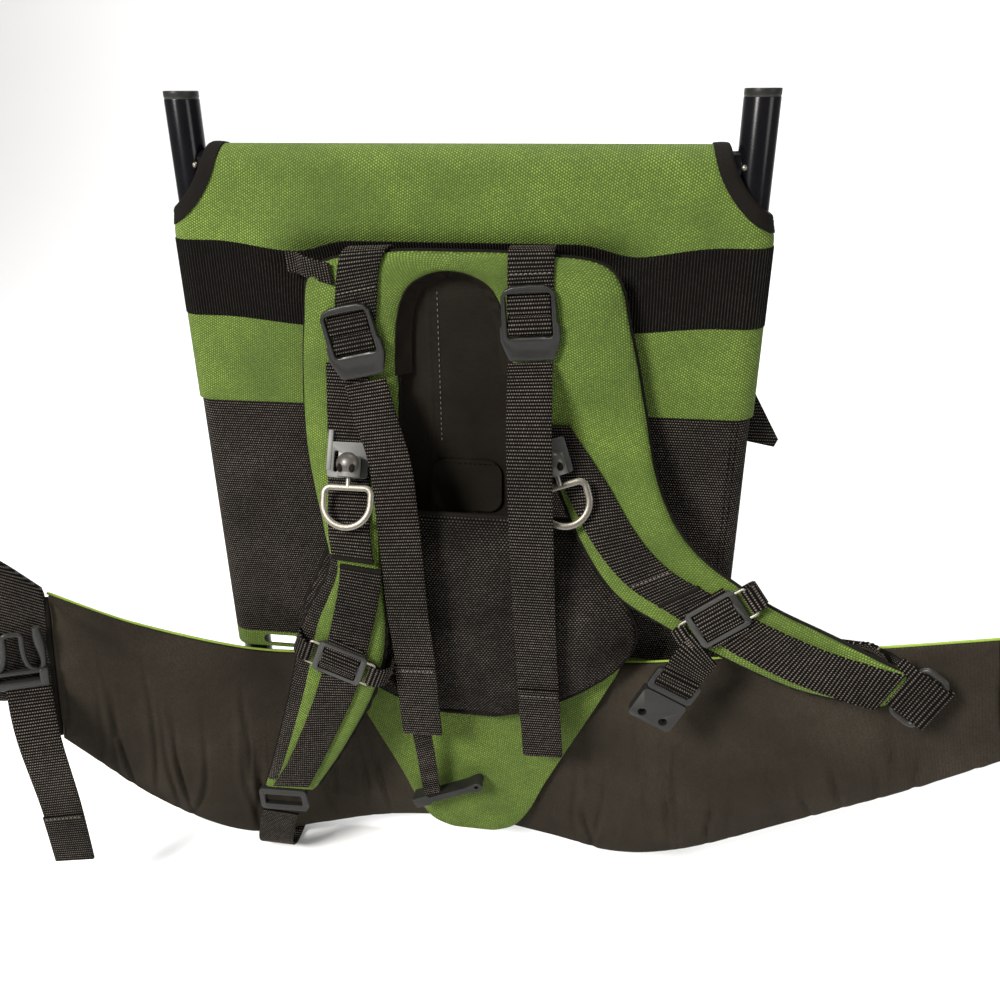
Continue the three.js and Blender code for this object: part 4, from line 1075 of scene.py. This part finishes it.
def sleeve_top():
    """The green cloth from the front seam over the fold to the back seam, with its corners cut out."""
    cut = -CUT_DROP * np.cos(np.linspace(0, math.pi / 2, 17)) ** (2 / CUT_POWER)
    fold = SLEEVE_DEPTH * (np.sin(np.linspace(0, math.pi / 2, 9)) - 1)
    front = np.unique(np.round(np.concatenate((np.linspace(SEAM_Z + GAP, -CUT_DROP, 48), cut, fold)), 3))
    levels = np.concatenate((front, front[-2::-1]))
    count = len(levels) - 1
    middle = len(front) - 1
    depth = front_depth(np.zeros_like(levels), levels)
    depth = np.where(np.arange(len(levels)) > middle, 2 * SLEEVE_DEPTH - depth, depth)
    runs = run_along(np.column_stack((levels, depth)))

    def shape(u, v):
        row = np.clip(np.round(v * count).astype(int), 0, count)
        z = levels[row]
        back = row > middle
        side = TUBE_X + side_reach(z)
        half = np.where(z > -CUT_DROP, np.minimum(CUT_X - cut_reach(z), side), side)
        x = np.sin((u - 0.5) * math.pi * 0.999999) * half
        y = front_depth(x, z)
        pull = slack(x, np.zeros_like(x), z, 0.7, 3) * np.clip(-z / 30, 0, 1)
        y = np.minimum(y + pull, SLEEVE_DEPTH)
        y = np.where(back, 2 * SLEEVE_DEPTH - y, y)
        bend = np.arcsin(np.clip((np.abs(x) - TUBE_X) / side_reach(z), 0, 1))
        wide = np.sign(x) * (np.minimum(np.abs(x), TUBE_X) + SLEEVE_DEPTH * bend)
        return np.column_stack((x, y, z)), np.column_stack((wide, runs[row]))

    piece = shaped_grid("green_top", 96, count, shape)
    edit(piece, merge)
    face_to_outside(piece)
    thicken(piece, SLEEVE_THICK, 0.3)
    return piece


def face_to_outside(piece):
    """Turns an open pocket's faces away from the sleeve's middle plane."""
    out = face_values(piece, "center")[:, 1] - (SLEEVE_DEPTH + BACK_REST[1]) * MM
    if (out * face_values(piece, "normal")[:, 1]).sum() < 0:
        edit(piece, bpy.ops.mesh.flip_normals)


def corner_tape(side, sign):
    """Binding folded over the edge of a corner cut-out, on the front and on the back."""
    def shape(u, v):
        turn = np.where(v < 0.5, v, 1 - v) * math.pi
        grow = -0.9 + (CUT_TAPE + 1.5) * u
        z = -(CUT_DROP + grow) * np.abs(np.cos(turn)) ** (2 / CUT_POWER)
        x = np.minimum(CUT_X - (CUT_HALF + grow) * np.abs(np.sin(turn)) ** (2 / CUT_POWER), TUBE_X + side_reach(z))
        y = front_depth(x, z)
        lift = 1.7 * np.sqrt(np.clip(u / 0.15, 0, 1)) + 0.3 * np.sin(u * math.pi)
        out = np.clip((x - TUBE_X) / side_reach(z), 0, 1)
        over = np.clip(z / SLEEVE_DEPTH + 1, 0, 1)
        ahead = np.sqrt(np.clip(1 - out ** 2 - over ** 2, 0, 1))
        x, y, z = x + lift * out, y - lift * ahead, z + lift * over
        y = np.where(v < 0.5, y, 2 * SLEEVE_DEPTH - y)
        return np.column_stack((sign * x, y, z)), np.column_stack((grow, v * 150))

    piece = shaped_grid(f"corner_tape_{side}", 10, 80, shape)
    edit(piece, merge)
    face_to_outside(piece)
    thicken(piece, 0.6)
    return piece


def band_wall():
    """Wide ribbed band round the sleeve. It dips beside the yoke and rises behind it."""
    moves = []
    pitch = sizes().band_rib / MM

    def shape(u, v):
        x, y, run = slot_ring(u, GAP)
        dip = ease((DIP_HALF - np.abs(x)) / DIP_FADE) * (DIP_BOTTOM + DIP_TOP * v)
        rise = RISE_TOP * ease((RISE_HALF - np.abs(x)) / RISE_FADE) * v
        z = BAND_BOTTOM + (BAND_TOP - BAND_BOTTOM) * v - (dip - rise) * (y < SLEEVE_DEPTH)
        ahead, behind = slot_ring(u + 1e-4, GAP), slot_ring(u - 1e-4, GAP)
        out = unit(np.column_stack((ahead[1] - behind[1], behind[0] - ahead[0], np.zeros_like(z))))
        moves.append(out * ribs(run, pitch)[:, None])
        return np.column_stack((x, y + slack(x, y, z, 0.4, 3), z)), np.column_stack((z, run))

    around = int(2 * (2 * TUBE_X + math.pi * SLEEVE_DEPTH) / pitch * RIB_STEPS)
    piece = shaped_grid("wide_band", around, 12, shape)
    keep_folds(piece, moves[0])
    edit(piece, merge, outward)
    thicken(piece, WEB_THICK, 0.3)
    fold(piece)
    return piece


def cut_slots(piece, places, size, level):
    """Cuts rounded slots through both walls."""
    for x in places:
        cutter = primitive("cube", "cutter", size=1, location=in_part((x, SLEEVE_DEPTH, level)),
                           scale=(size[0] * MM, 0.06, size[1] * MM))
        modify(cutter, "BEVEL", width=size[1] * 0.48 * MM, segments=6, limit_method="ANGLE")
        modify(piece, "BOOLEAN", operation="DIFFERENCE", object=cutter, solver="EXACT")
        bpy.data.objects.remove(cutter, do_unlink=True)


class HARNESS_OT_sleeve(bpy.types.Operator):
    """Green sleeve, ribbed panel, hem, bindings, band and side tab"""

    bl_idname = "harness.sleeve"
    bl_label = "Sleeve"

    def execute(self, context):
        top = sleeve_top()
        finish(top, "green", "sleeve_green")
        panel = sleeve_wall("ribbed_panel", MESH_BOTTOM_Z, SEAM_Z, 40)
        finish(panel, "mesh", "sleeve_mesh")
        hem = sleeve_wall("bottom_hem", HEM_BOTTOM_Z, MESH_BOTTOM_Z - GAP, 6)
        cut_slots(hem, *HEM_SLOTS)
        finish(hem, "green", "sleeve_hem")
        for side, sign in SIDES:
            finish(corner_tape(side, sign), "tape", f"binding_{side}")
        finish(band_wall(), "band", "panel_band", angle=60)
        self.tab()
        self.seams()
        return {"FINISHED"}

    def seams(self):
        """Double stitching beside the panel's right edge."""
        step = 1.35 * sizes().stitch / MM
        level = np.arange(SEAM_Z - 3, MESH_BOTTOM_Z + 2, -step)
        for number, x in enumerate(PANEL_STITCHES_X):
            depth = front_depth(np.full_like(level, x), level) - 0.2
            centre = np.column_stack((np.full_like(level, x), depth, level))
            stitches(f"panel_stitches_{number}", centre, (0, 0, -1), (0, -1, 0), (step * 0.75, 0.6, 0.4), "webbing")

    def tab(self):
        """The webbing tip that shows behind the right edge."""
        corners = [in_part((x, 2 * SLEEVE_DEPTH + GAP, z)) for x, z in SIDE_TAB]
        mesh = bpy.data.meshes.new("tab_tip")
        mesh.from_pydata([tuple(c) for c in corners], [], [range(len(corners))])
        mesh.uv_layers.new(name="UVMap")
        for loop, corner in enumerate(SIDE_TAB):
            mesh.uv_layers[0].data[loop].uv = (corner[0] * MM, corner[1] * MM)
        piece = bpy.data.objects.new("tab_tip", mesh)
        bpy.context.scene.collection.objects.link(piece)
        face_to(piece, (0, 1, 0))
        thicken(piece, 1.5, 0.4)
        finish(piece, "webbing", "side_tab")


# Shoulder harness.
class HARNESS_OT_yoke(bpy.types.Operator):
    """Padded yoke and shoulder straps, with piping and a black lining"""

    bl_idname = "harness.yoke"
    bl_label = "Yoke"

    def execute(self, context):
        band = harness_band()
        pad = padded_tube("green_yoke", band, 40, 230, 0.6, 4.0, wave=self.wave)
        pad.data.polygons.foreach_set("material_index", self.cloths(pad, band))
        swell(pad, self.held(pad, band), 1.6)
        fold(pad)
        finish(pad, "green lining mesh", "harness_pad")
        self.piping("outer_piping", band, -1, 1.2)
        self.piping("inner_piping", band, 1, lambda v: 1.6 + 0.35 * np.sin(v * 620))
        self.facing(band)
        return {"FINISHED"}

    @staticmethod
    def cloths(pad, band):
        """Green on the wearer's side, lining behind, and a ribbed strip down the left strap's outer side."""
        length = lengths_along(lambda v: band.middle(band.last * v))
        share = np.linspace(0, 1, 400)
        half = band.frame(band.last * share)[4][:, 0]
        lengths = pad.data.uv_layers[0].data
        picked = []
        for face in pad.data.polygons:
            wide, run = np.mean([lengths[i].uv for i in face.loop_indices], axis=0) / MM
            v = np.interp(run, length(share), share)
            lip = LIP_FIRST < v * band.last < LIP_LAST and wide < -LIP_SHARE * np.interp(v, share, half)
            picked.append(1 if face.normal.y > 0.35 else 2 if lip else 0)
        return picked

    @staticmethod
    def piping(name, band, shift, radius):
        def path(v):
            centre, across, _, normal, half, thick = band.frame(0.15 + (band.last - 0.3) * v)
            return centre + across * shift * (half + 0.3) - normal * thick * 0.06
        finish(round_bar(name, path, radius, 8, 900), "tape")

    @staticmethod
    def facing(band):
        """Pleated black facing inside the yoke's opening."""
        length = lengths_along(lambda v: band.middle(FACING_FIRST + FACING_ROWS * v))

        def shape(u, v):
            centre, across, _, normal, half, thick = band.frame(FACING_FIRST + FACING_ROWS * v)
            pleat = np.sin(v * 75 + 1.5 * np.sin(v * 23)) * np.sin(math.pi * np.clip(u * 1.2, 0, 1))
            reach = half[:, 0] - 1.0 + 7.5 * u
            deep = thick[:, 0] * 0.28 - 9.0 * u ** 0.8 + 0.8 * pleat
            points = centre + across * reach[:, None] + normal * deep[:, None]
            return points, np.column_stack((u * 10, length(v)))

        piece = shaped_grid("opening_facing", 12, 320, shape)
        face_to(piece, (0, -1, 0))
        thicken(piece, 0.7)
        finish(piece, "spine")

    @staticmethod
    def wave(wide, run, face):
        return 0.3 * ripple(wide * 2.2, run, 11)

    @staticmethod
    def held(pad, band):
        """The points at the edges and under the sewn webbing."""
        points, held = near_rims(pad, band, 500, 2.5)
        for values in SEWN_WEBBING:
            centre, _, normal = sewn_seat(band, *values[1:])(np.linspace(0, 1, 120))
            away = points[:, None, :] - centre
            first = np.argmin((away ** 2).sum(axis=2), axis=1)
            close = away[np.arange(len(points)), first]
            out = (close * normal[first]).sum(axis=1)
            held |= (np.linalg.norm(close, axis=1) < WEB / 2 + 1.5) & (out > -3)
        return held


class HARNESS_OT_webbing(bpy.types.Operator):
    """Webbing sewn along the shoulder straps"""

    bl_idname = "harness.webbing"
    bl_label = "Strap webbing"

    def execute(self, context):
        band = harness_band()
        for node, first, last, lift, *shifts in SEWN_WEBBING:
            webbing(f"web_{node}", WEB, sewn_seat(band, first, last, lift + SEWN_RISE, *shifts), node)
        for name, row, lift, shift in SEWN_FOLDS:
            centre, across, _, normal, half, thick = band.at_row(row)
            middle = centre + normal * (thick / 2 + lift) + across * half * shift
            ends = (middle - across * WEB / 2, middle + across * WEB / 2)
            finish(round_bar(name, through(ends), 1.5, 12, 8), "tape")
        webbing("web_yoke_corner", 12, hanging_seat(YOKE_CORNER))
        return {"FINISHED"}


class HARNESS_OT_hanging(bpy.types.Operator):
    """Lifter loops, loose tails, lower webbing, sternum webbing and the belt's tail"""

    bl_idname = "harness.hanging"
    bl_label = "Hanging webbing"

    def execute(self, context):
        for node, (width, rows) in HANGING.items():
            webbing(f"web_{node}", width, hanging_seat(rows), node)
        for node, first in FOLDED_ENDS:
            width, rows = HANGING[node]
            whole = hanging_seat(rows)

            def seat(v):
                centre, across, normal = whole(first + (0.995 - first) * v)
                return centre + normal * (WEB_THICK + 0.05), across, normal
            webbing(f"fold_{node}", width + 0.6, seat, thickness=1.3)
        return {"FINISHED"}


class HARNESS_OT_buckles(bpy.types.Operator):
    """Moulded buckles, sliders and strap end rings"""

    bl_idname = "harness.buckles"
    bl_label = "Buckles"

    def execute(self, context):
        for node in MOULDED:
            piece = moulded(node, f"moulded_{node}", sizes().edge)
            if node == "sternum_clip":
                place, _ = node_place(node, (0, -1, 0))
                local = (in_table(piece.data) - place.centre) @ place.axes.T
                set_points(piece.data, in_part(place.at(local * (1, 0.65, 0.85))))
            finish(piece, "plastic", node)
        finish(self.prong(), "plastic", "belt_prong_left")
        self.end_ring()
        self.triglide()
        for side, values in LOCKS.items():
            place = lock_place(*values)
            finish(self.lock(side, place), "plastic", f"ladder_lock_{side}", angle=50)
            for name, rows in LOCK_WEBBING.items():
                webbing(f"lock_webbing_{name}_{side}", 23.6, place.seat(rows), thickness=THREADED_THICK)
        for side, values in SLIDERS.items():
            self.slider(side, *slider_place(*values))
        return {"FINISHED"}

    def end_ring(self):
        """The ring at the right strap's end, with webbing round it."""
        place, half = node_place("end_ring_right", (-1, 0, 0.6))
        path = self.oblong(place, (0, 0, 0), half[:2] - 1.6)
        loop = round_bar("wire_end_ring_right", path, 1.7, 12, 120, closed=True, facing=place.axes[2], flat=0.8)
        finish(loop, "plastic", "end_ring_right")
        reach = half[1]
        rows = ((reach + 9, -1), (reach + 3, 0.6), (reach - 2, 1.6), (1, 0.6), (1.5 - reach, 1.8), (-reach - 1.2, 0.6),
                (-reach - 1.0, -1.6), (2 - reach, -2.6), (0, -2.6))
        webbing("end_webbing_right", 2 * half[0] - 8, place.seat(rows), thickness=THREADED_THICK)

    @staticmethod
    def triglide():
        """Webbing through the sternum strap's triglide."""
        place, half = node_place("sternum_triglide", (0.2, 0, 1))
        reach = half[1]
        rows = ((reach + 2, -0.6), (reach - 1, 1.9), (reach - 4, 1.2), (2.2, 0.4), (0, 1.9), (-2.2, 0.4),
                (4 - reach, 0.2), (1 - reach, -1))
        webbing("triglide_webbing", min(22.0, 2 * half[0] - 5), place.seat(rows), thickness=THREADED_THICK)

    def slider(self, side, place, half, thick):
        """A slider's webbing, and the wire loops and tabs at both its ends."""
        webbing(f"slider_webbing_{side}", 22.5, place.seat(SLIDER_WEBBING), thickness=THREADED_THICK)
        for end, sign in (("outer", -1), ("inner", 1)):
            path = self.oblong(place, (sign * SLIDER_WIRE_X, 0, SLIDER_WIRE_OUT), SLIDER_WIRE_HALF)
            loop = round_bar(f"slider_wire_{end}_{side}", path, 0.9, 10, 96, closed=True, facing=place.axes[2])
            finish(loop, "metal")
            rows = np.array(((18.5, 0.8), (21, 2.6), (24.5, 1.6), (half + 1.0, -2.0), (half + 2.4, -thick * 0.55),
                             (half, -thick - 2.5), (half - 6, -thick - 3.4))) * (sign, 1)
            webbing(f"slider_tab_{end}_{side}", 13, place.seat(rows, sideways=True))

    @staticmethod
    def prong():
        """The belt's prong half: a base with a slot, two flexing arms and a guide between them."""
        band = wide_band(BELT_END_ROWS["left"])
        centre, across, along, normal, half, thick = band.at_row(1.2)
        place = Place(centre + across * 0.25 * half + normal * (thick / 2 + 3 * GAP), along, -across, normal)
        parts = [soft_block(f"prong_block_{i}", place, *values, 1.2) for i, values in enumerate(PRONG_BLOCKS)]
        share = np.linspace(0, 1, len(PRONG_ARM))

        def arm(v):
            return np.interp(v, share, PRONG_ARM_RADII)

        for name, rows, sign, radius in (
                ("left", PRONG_ARM, -1, arm), ("right", PRONG_ARM, 1, arm), ("guide", PRONG_GUIDE, 1, 1.6)):
            table = np.column_stack((np.array(rows, float) * (sign, 1), np.full(len(rows), 3.0)))
            points = place.at(smooth(table, np.linspace(0, len(table) - 1, 60)))
            parts.append(round_bar(f"prong_{name}", through(points), radius, 14, 60, facing=normal, flat=0.85))
        return joined("moulded_belt_prong_left", *parts)

    @staticmethod
    def oblong(place, middle, half):
        """A closed path round a rounded oblong on a piece's own axes."""
        angle = np.linspace(0, 2 * math.pi, 65)
        square = lambda wave: np.sign(wave) * np.abs(wave) ** 0.4
        ring = np.column_stack((half[0] * square(np.cos(angle)), half[1] * square(np.sin(angle)), np.zeros(65)))
        return through(place.at(ring + middle))

    @staticmethod
    def lock(side, place):
        """A moulded frame round one window, with a wide lip and two bars under the webbing."""
        section = np.array(LOCK_SECTION, float)

        def ring(half_outline, angle):
            right = np.array(half_outline, float)
            loop = np.vstack((right, right[-2::-1] * (-1, 1)))
            x, y = through(loop)(np.linspace(0, 1, 4000)).T
            turn = np.unwrap(np.arctan2(x, y - LOCK_MIDDLE))
            return np.column_stack((np.interp(angle, turn, x), np.interp(angle, turn, y)))

        def shape(u, v):
            angle = u * 2 * math.pi
            inner, outer = ring(LOCK_WINDOW, angle), ring(LOCK_OUTLINE, angle)
            at = v * (len(section) - 1)
            share, rise = (np.interp(at, np.arange(len(section)), section[:, k]) for k in (0, 1))
            flat = inner + (outer - inner) * share[:, None]
            hollow = 0.9 * np.sin(math.pi * share) * np.clip(-np.cos(angle), 0, 1) ** 3 * (rise > 0.85)
            points = place.at(np.column_stack((flat, LOCK_THICK * rise - hollow)))
            return points, flat

        frame_piece = shaped_grid(f"lock_frame_{side}", 120, 2 * (len(section) - 1), shape)
        edit(frame_piece, merge, outward)
        bars = []
        for number, along in enumerate((8.6, -2.0)):
            ends = place.at(((-12.6, along, 0.2), (12.6, along, 0.2)))
            bars.append(round_bar(f"lock_bar_{side}_{number}", through(ends), 1.0, 12, 4))
        return joined(f"moulded_ladder_lock_{side}", frame_piece, *bars)


# Swivel rings.
RING = {
    "half": 14.0, "deep": 23.0, "corner": 4.0, "side": 9.0, "wire": 1.9, "flat": 0.45, "stem": 12.0, "out": 0.45,
}
BOSS_X, BOSS_Y, BOSS_OUT = 3.0, -4.5, 7.7
# Sizes of the boss's dome, and of the dark domes that paint the shade in its two hollows.
DOME_SIZE, HOLLOW_SHADE_SIZE = (13.4, 13.4, 8.4), (3.6, 5.2, 2.6)
BRACKET_BAR = ((-11.2, 5.5, 1.3), (3.2, 24, 2.6), 0.7)


def swivel_place(row, shift, lift, lean):
    centre, across, _, normal, half, thick = harness_band().at_row(row)
    up = np.array((-math.sin(math.radians(lean)), 0, math.cos(math.radians(lean))))
    along = unit(up - normal * (up @ normal))
    return Place(centre + across * shift * half + normal * (thick / 2 + GAP + WEB_THICK + lift),
                 np.cross(along, normal), along, normal)


def set_on(piece, place, middle, size):
    """Sizes a small piece and puts it on another piece's own axes."""
    set_points(piece.data, in_part(place.at(points_of(piece.data) * size + middle)))
    edit(piece, outward)


def soft_block(name, place, middle, size, edge):
    """A small moulded block with rounded edges."""
    piece = primitive("cube", name, size=1)
    set_on(piece, place, middle, size)
    modify(piece, "BEVEL", width=edge * MM, segments=3, limit_method="ANGLE")
    return piece


def soft_dome(name, place, middle, size):
    piece = primitive("uv_sphere", name, segments=32, ring_count=16, radius=0.5)
    set_on(piece, place, middle, size)
    return piece


def ring_outline(share):
    """The D-ring's centre line in its own plane: x across and y along the stem, the head at zero."""
    half, deep, corner, side, stem = (RING[key] for key in ("half", "deep", "corner", "side", "stem"))
    arcs = []
    for middle, radii, first, last, count in (
            ((-half + corner, -corner), (corner, corner), 0.5, 1.0, 12),
            ((0, -side), (half, deep - side), 1.0, 2.0, 60),
            ((half - corner, -corner), (corner, corner), 0.0, 0.5, 12)):
        angle = np.linspace(first, last, count) * math.pi
        arcs.append(np.column_stack((middle[0] + radii[0] * np.cos(angle), middle[1] + radii[1] * np.sin(angle))))
    loop = np.vstack(arcs)
    at = through(np.vstack((loop, loop[:1])))(share)
    return at[:, 0], at[:, 1] - stem


class HARNESS_OT_swivels(bpy.types.Operator):
    """Swivel brackets and their D-rings"""

    bl_idname = "harness.swivels"
    bl_label = "Swivels"

    def execute(self, context):
        joints = {joint["child"]: joint for joint in frame["record"]["behaviour"]["joints"]}
        for side, _ in SIDES:
            place = swivel_place(*SWIVELS[side])
            bracket = moulded(f"swivel_{side}", f"bracket_{side}", 0.4 * MM)
            bar = soft_block(f"bracket_bar_{side}", place, *BRACKET_BAR)
            dome = soft_dome(f"bracket_dome_{side}", place, (BOSS_X, BOSS_Y + 1.5, BOSS_OUT + 3.6), DOME_SIZE)
            joined(f"bracket_{side}", bracket, bar)
            finish(dome, "boss")
            finish(bracket, "bracket", f"swivel_{side}")
            # Two small dark domes of the black lining sit on the boss: painted shade where its hollows are.
            for end, sign in (("a", -1), ("b", 1)):
                hollow = soft_dome(f"bracket_hollow_{end}_{side}", place,
                                   (BOSS_X + sign * 3.5, BOSS_Y - 1.2, BOSS_OUT + 6.6), HOLLOW_SHADE_SIZE)
                finish(hollow, "spine")
            head = np.array(joints[f"ring_{side}"]["pos_m"]) / MM - BACK_REST
            across, axis, front = place.axes

            def loop(v):
                x, y = ring_outline(v % 1.0)
                return head + x[:, None] * across + y[:, None] * axis + RING["out"] * front

            def stem(v):
                return head - (v * RING["stem"])[:, None] * axis

            ring = round_bar(f"wire_ring_{side}", loop, RING["wire"], 14, 140, closed=True, facing=front,
                             flat=RING["flat"])
            post = round_bar(f"stem_{side}", stem, 1.5, 16, 6, facing=front)
            joined(f"wire_ring_{side}", ring, post)
            finish(ring, "metal", f"d_ring_{side}", body=f"ring_{side}")
        return {"FINISHED"}


# Lumbar pad, spine cloth and hip belt.
class HARNESS_OT_lumbar(bpy.types.Operator):
    """Lumbar pad with its edge tape, and the green flap behind it"""

    bl_idname = "harness.lumbar"
    bl_label = "Lumbar pad"

    def execute(self, context):
        band = shield_band(LUMBAR_ROWS, LUMBAR_Y)
        pad = padded_tube("mesh_lumbar", band, 64, 60, 0.5, 4, wave=self.wave)
        depth = in_table(pad.data)[:, 1]
        swell(pad, np.abs(depth - LUMBAR_Y) < 1.0, 1.2)
        fold(pad)
        finish(pad, "spacer", "lumbar_pad")
        rows = np.linspace(0, band.last, 120)
        rim = np.vstack((smooth(band.outer, rows), smooth(band.inner, rows)[::-1], smooth(band.outer, rows[:1])))
        binding = round_bar("lumbar_binding", through(rim), 1.6, 10, 520, closed=True)
        finish(binding, "tape")
        flap_band = shield_band(FLAP_ROWS, FLAP_Y)
        flap = padded_tube("green_flap", flap_band, 48, 60, 0.45, 2)
        finish(flap, "green", "lumbar_flap")
        return {"FINISHED"}

    @staticmethod
    def wave(wide, run, face):
        return 0.3 * ripple(wide, run, 23)


class HARNESS_OT_spine(bpy.types.Operator):
    """Black cloth in the yoke's opening"""

    bl_idname = "harness.spine"
    bl_label = "Spine cloth"

    def execute(self, context):
        for name, x, z, width, height, corner, y, thickness in SPINE_SHEETS:
            def shape(u, v):
                across, up = (u - 0.5) * width, (v - 0.5) * height
                rise = np.clip(np.abs(up) - height / 2 + corner, 0, corner)
                inset = corner - np.sqrt(np.clip(corner ** 2 - rise ** 2, 0, None))
                across = across * (1 - 2 * inset / width)
                place = x + across
                if name == "spine_sheet":
                    off = place - SPINE_SEAM_X
                    ridge = np.exp(-(off / 1.1) ** 2) + 0.5 * np.exp(-((off - 3) / 3) ** 2)
                    folds = 0.9 * ridge + 0.55 * ripple(place * 1.1, up * 0.5, 61)
                else:
                    folds = 0.5 * ripple(place, up, 67)
                return np.column_stack((place, y - folds, z + up)), np.column_stack((across, up))
            piece = shaped_grid(f"cloth_{name}", 80, 80, shape)
            face_to(piece, (0, -1, 0))
            thicken(piece, thickness, 0.4)
            finish(piece, "spine", name)
        step = sizes().stitch / MM
        down = np.arange(-76, -165, -1.25 * step)
        along = np.arange(-11, 21.5, 1.2 * step)
        for name, x, y, z, ahead, cloth in (
                ("spine_stitches", np.full_like(down, -12.5), -4.7, down, (0, 0, -1), "thread"),
                ("flap_stitches", along, -6.7, np.full_like(along, -178.2), (1, 0, 0), "webbing")):
            centre = np.column_stack((x, np.full_like(x, y), z))
            stitches(name, centre, ahead, (0, -1, 0), (step * 0.7, 0.6, 0.5), cloth)
        return {"FINISHED"}


class HARNESS_OT_belt(bpy.types.Operator):
    """Hip belt wings, their shells and stiff ends"""

    bl_idname = "harness.belt"
    bl_label = "Hip belt"

    def execute(self, context):
        for number, side in enumerate(("left", "right")):
            band = wide_band(BELT_ROWS[side])
            band_run = lengths_along(lambda v: band.middle(band.last * v))(1.0)

            def wave(wide, run, face, seed=40 + number):
                pick = np.random.default_rng(seed)
                crease = np.zeros_like(run)
                for at in np.linspace(62, band_run - 20, CREASES) + pick.uniform(-7, 7, CREASES):
                    slant, middle, reach, deep, bend = pick.uniform(CREASE_LEAST, CREASE_MOST)
                    off = run - at - slant * wide - bend * np.sin(wide / 24 + at)
                    line = np.exp(-(off / 1.9) ** 2) - 0.6 * np.exp(-((off - 4.5) / 3.4) ** 2)
                    crease -= deep * line * np.exp(-((wide - middle) / reach) ** 2)
                hem = -1.3 * np.exp(-((wide + 52) / 5) ** 2)
                return (crease + hem + 1.2 * ripple(wide * 0.5, run * 0.6, seed + 1)) * (face > 0)

            pad = padded_tube(f"soft_wing_{side}", band, 72, 240, 0.5, 1.2, wave=wave)
            swell(pad, near_rims(pad, band, 300, 3.0)[1], 1.5)
            fold(pad)
            finish(pad, "lining", f"belt_pad_{side}")
            finish(self.shell(side, band), "green", f"belt_shell_{side}")
            end = padded_tube(f"ribbed_end_{side}", wide_band(BELT_END_ROWS[side]), 200, 30, 0.4, 0.8,
                              wave=lambda wide, run, face: -0.18 * np.cos(2 * math.pi * wide / 2.0), turned=True)
            fold(end)
            finish(end, "end", f"belt_end_{side}", angle=60)
            self.trim(side, band)
        return {"FINISHED"}

    @staticmethod
    def trim(side, band):
        """Green piping along a wing's top edge, and the binding between the wing and its end."""
        def top(v):
            centre, across, _, normal, half, thick = band.frame(band.last * v)
            return centre - across * (half + 0.2) - normal * thick * 0.04
        finish(round_bar(f"belt_piping_{side}", top, 0.8, 8, 160), "piping")
        share = np.linspace(-0.97, 0.97, 24)[:, None]
        centre, across, along, normal, half, thick = band.at_row(band.last)
        ahead = along * np.sign(along[0] * centre[0])
        seam = centre + share * half * across + ahead * 1.2 + normal * (thick * 0.3 * np.sqrt(1 - share ** 4))
        bar = round_bar(f"belt_seam_{side}", through(seam), 2.8, 10, 90, facing=normal, flat=0.5)
        finish(bar, "tape")

    @staticmethod
    def shell(side, band):
        length = lengths_along(lambda v: band.middle(band.last * v))

        def shape(u, v):
            centre, across, _, normal, half, thick = band.frame(band.last * v)
            wide = -half[:, 0] + SHELL_DROP + (2 * half[:, 0] - SHELL_DROP) * u
            points = centre + across * wide[:, None] - normal * (thick / 2 + SHELL_GAP)
            return points, np.column_stack((wide, length(v)))

        piece = shaped_grid(f"green_shell_{side}", 30, 90, shape)
        face_to(piece, (0, 1, 0))
        thicken(piece, SHELL_THICK, 0.4)
        return piece


class HARNESS_OT_stitching(bpy.types.Operator):
    """Stitch lines across the webbing"""

    bl_idname = "harness.stitching"
    bl_label = "Stitching"

    def execute(self, context):
        top = WEB_THICK + sizes().rise / MM
        for node, share in HANGING_STITCHES:
            width, rows = HANGING[node]
            folded = node in dict(FOLDED_ENDS)
            stitch_line(f"stitches_{node}", hanging_seat(rows), share, width, top + 1.3 * folded)
        seats = {values[0]: sewn_seat(harness_band(), *values[1:]) for values in SEWN_WEBBING}
        for number, (node, share) in enumerate(SEWN_STITCHES):
            stitch_line(f"stitches_{node}_{number}", seats[node], share, WEB, top)
        return {"FINISHED"}


OPERATORS = (
    HARNESS_OT_stage, HARNESS_OT_frame, HARNESS_OT_sleeve, HARNESS_OT_yoke, HARNESS_OT_webbing, HARNESS_OT_hanging,
    HARNESS_OT_buckles, HARNESS_OT_swivels, HARNESS_OT_lumbar, HARNESS_OT_spine, HARNESS_OT_belt,
    HARNESS_OT_stitching,
)


class HARNESS_PT_panel(bpy.types.Panel):
    """Steps and values of the harness"""

    bl_idname = "HARNESS_PT_panel"
    bl_label = "Harness"
    bl_space_type = "VIEW_3D"
    bl_region_type = "UI"
    bl_category = "Harness"

    def draw(self, context):
        for operator in OPERATORS:
            self.layout.operator(operator.bl_idname)
        for group in (context.scene.harness_sizes, context.scene.harness_colours):
            for name in group.__annotations__:
                self.layout.prop(group, name)


CLASSES = (HarnessSizes, HarnessColours, *OPERATORS, HARNESS_PT_panel)


def register():
    for cls in CLASSES:
        bpy.utils.register_class(cls)
    bpy.types.Scene.harness_sizes = bpy.props.PointerProperty(type=HarnessSizes)
    bpy.types.Scene.harness_colours = bpy.props.PointerProperty(type=HarnessColours)


def unregister():
    del bpy.types.Scene.harness_colours
    del bpy.types.Scene.harness_sizes
    for cls in reversed(CLASSES):
        bpy.utils.unregister_class(cls)


def main():
    register()
    MATERIALS.update(make_materials())
    for operator in OPERATORS:
        group, name = operator.bl_idname.split(".")
        if getattr(getattr(bpy.ops, group), name)() != {"FINISHED"}:
            raise RuntimeError(f"{operator.bl_label} didn't finish")


if __name__ == "__main__":
    main()
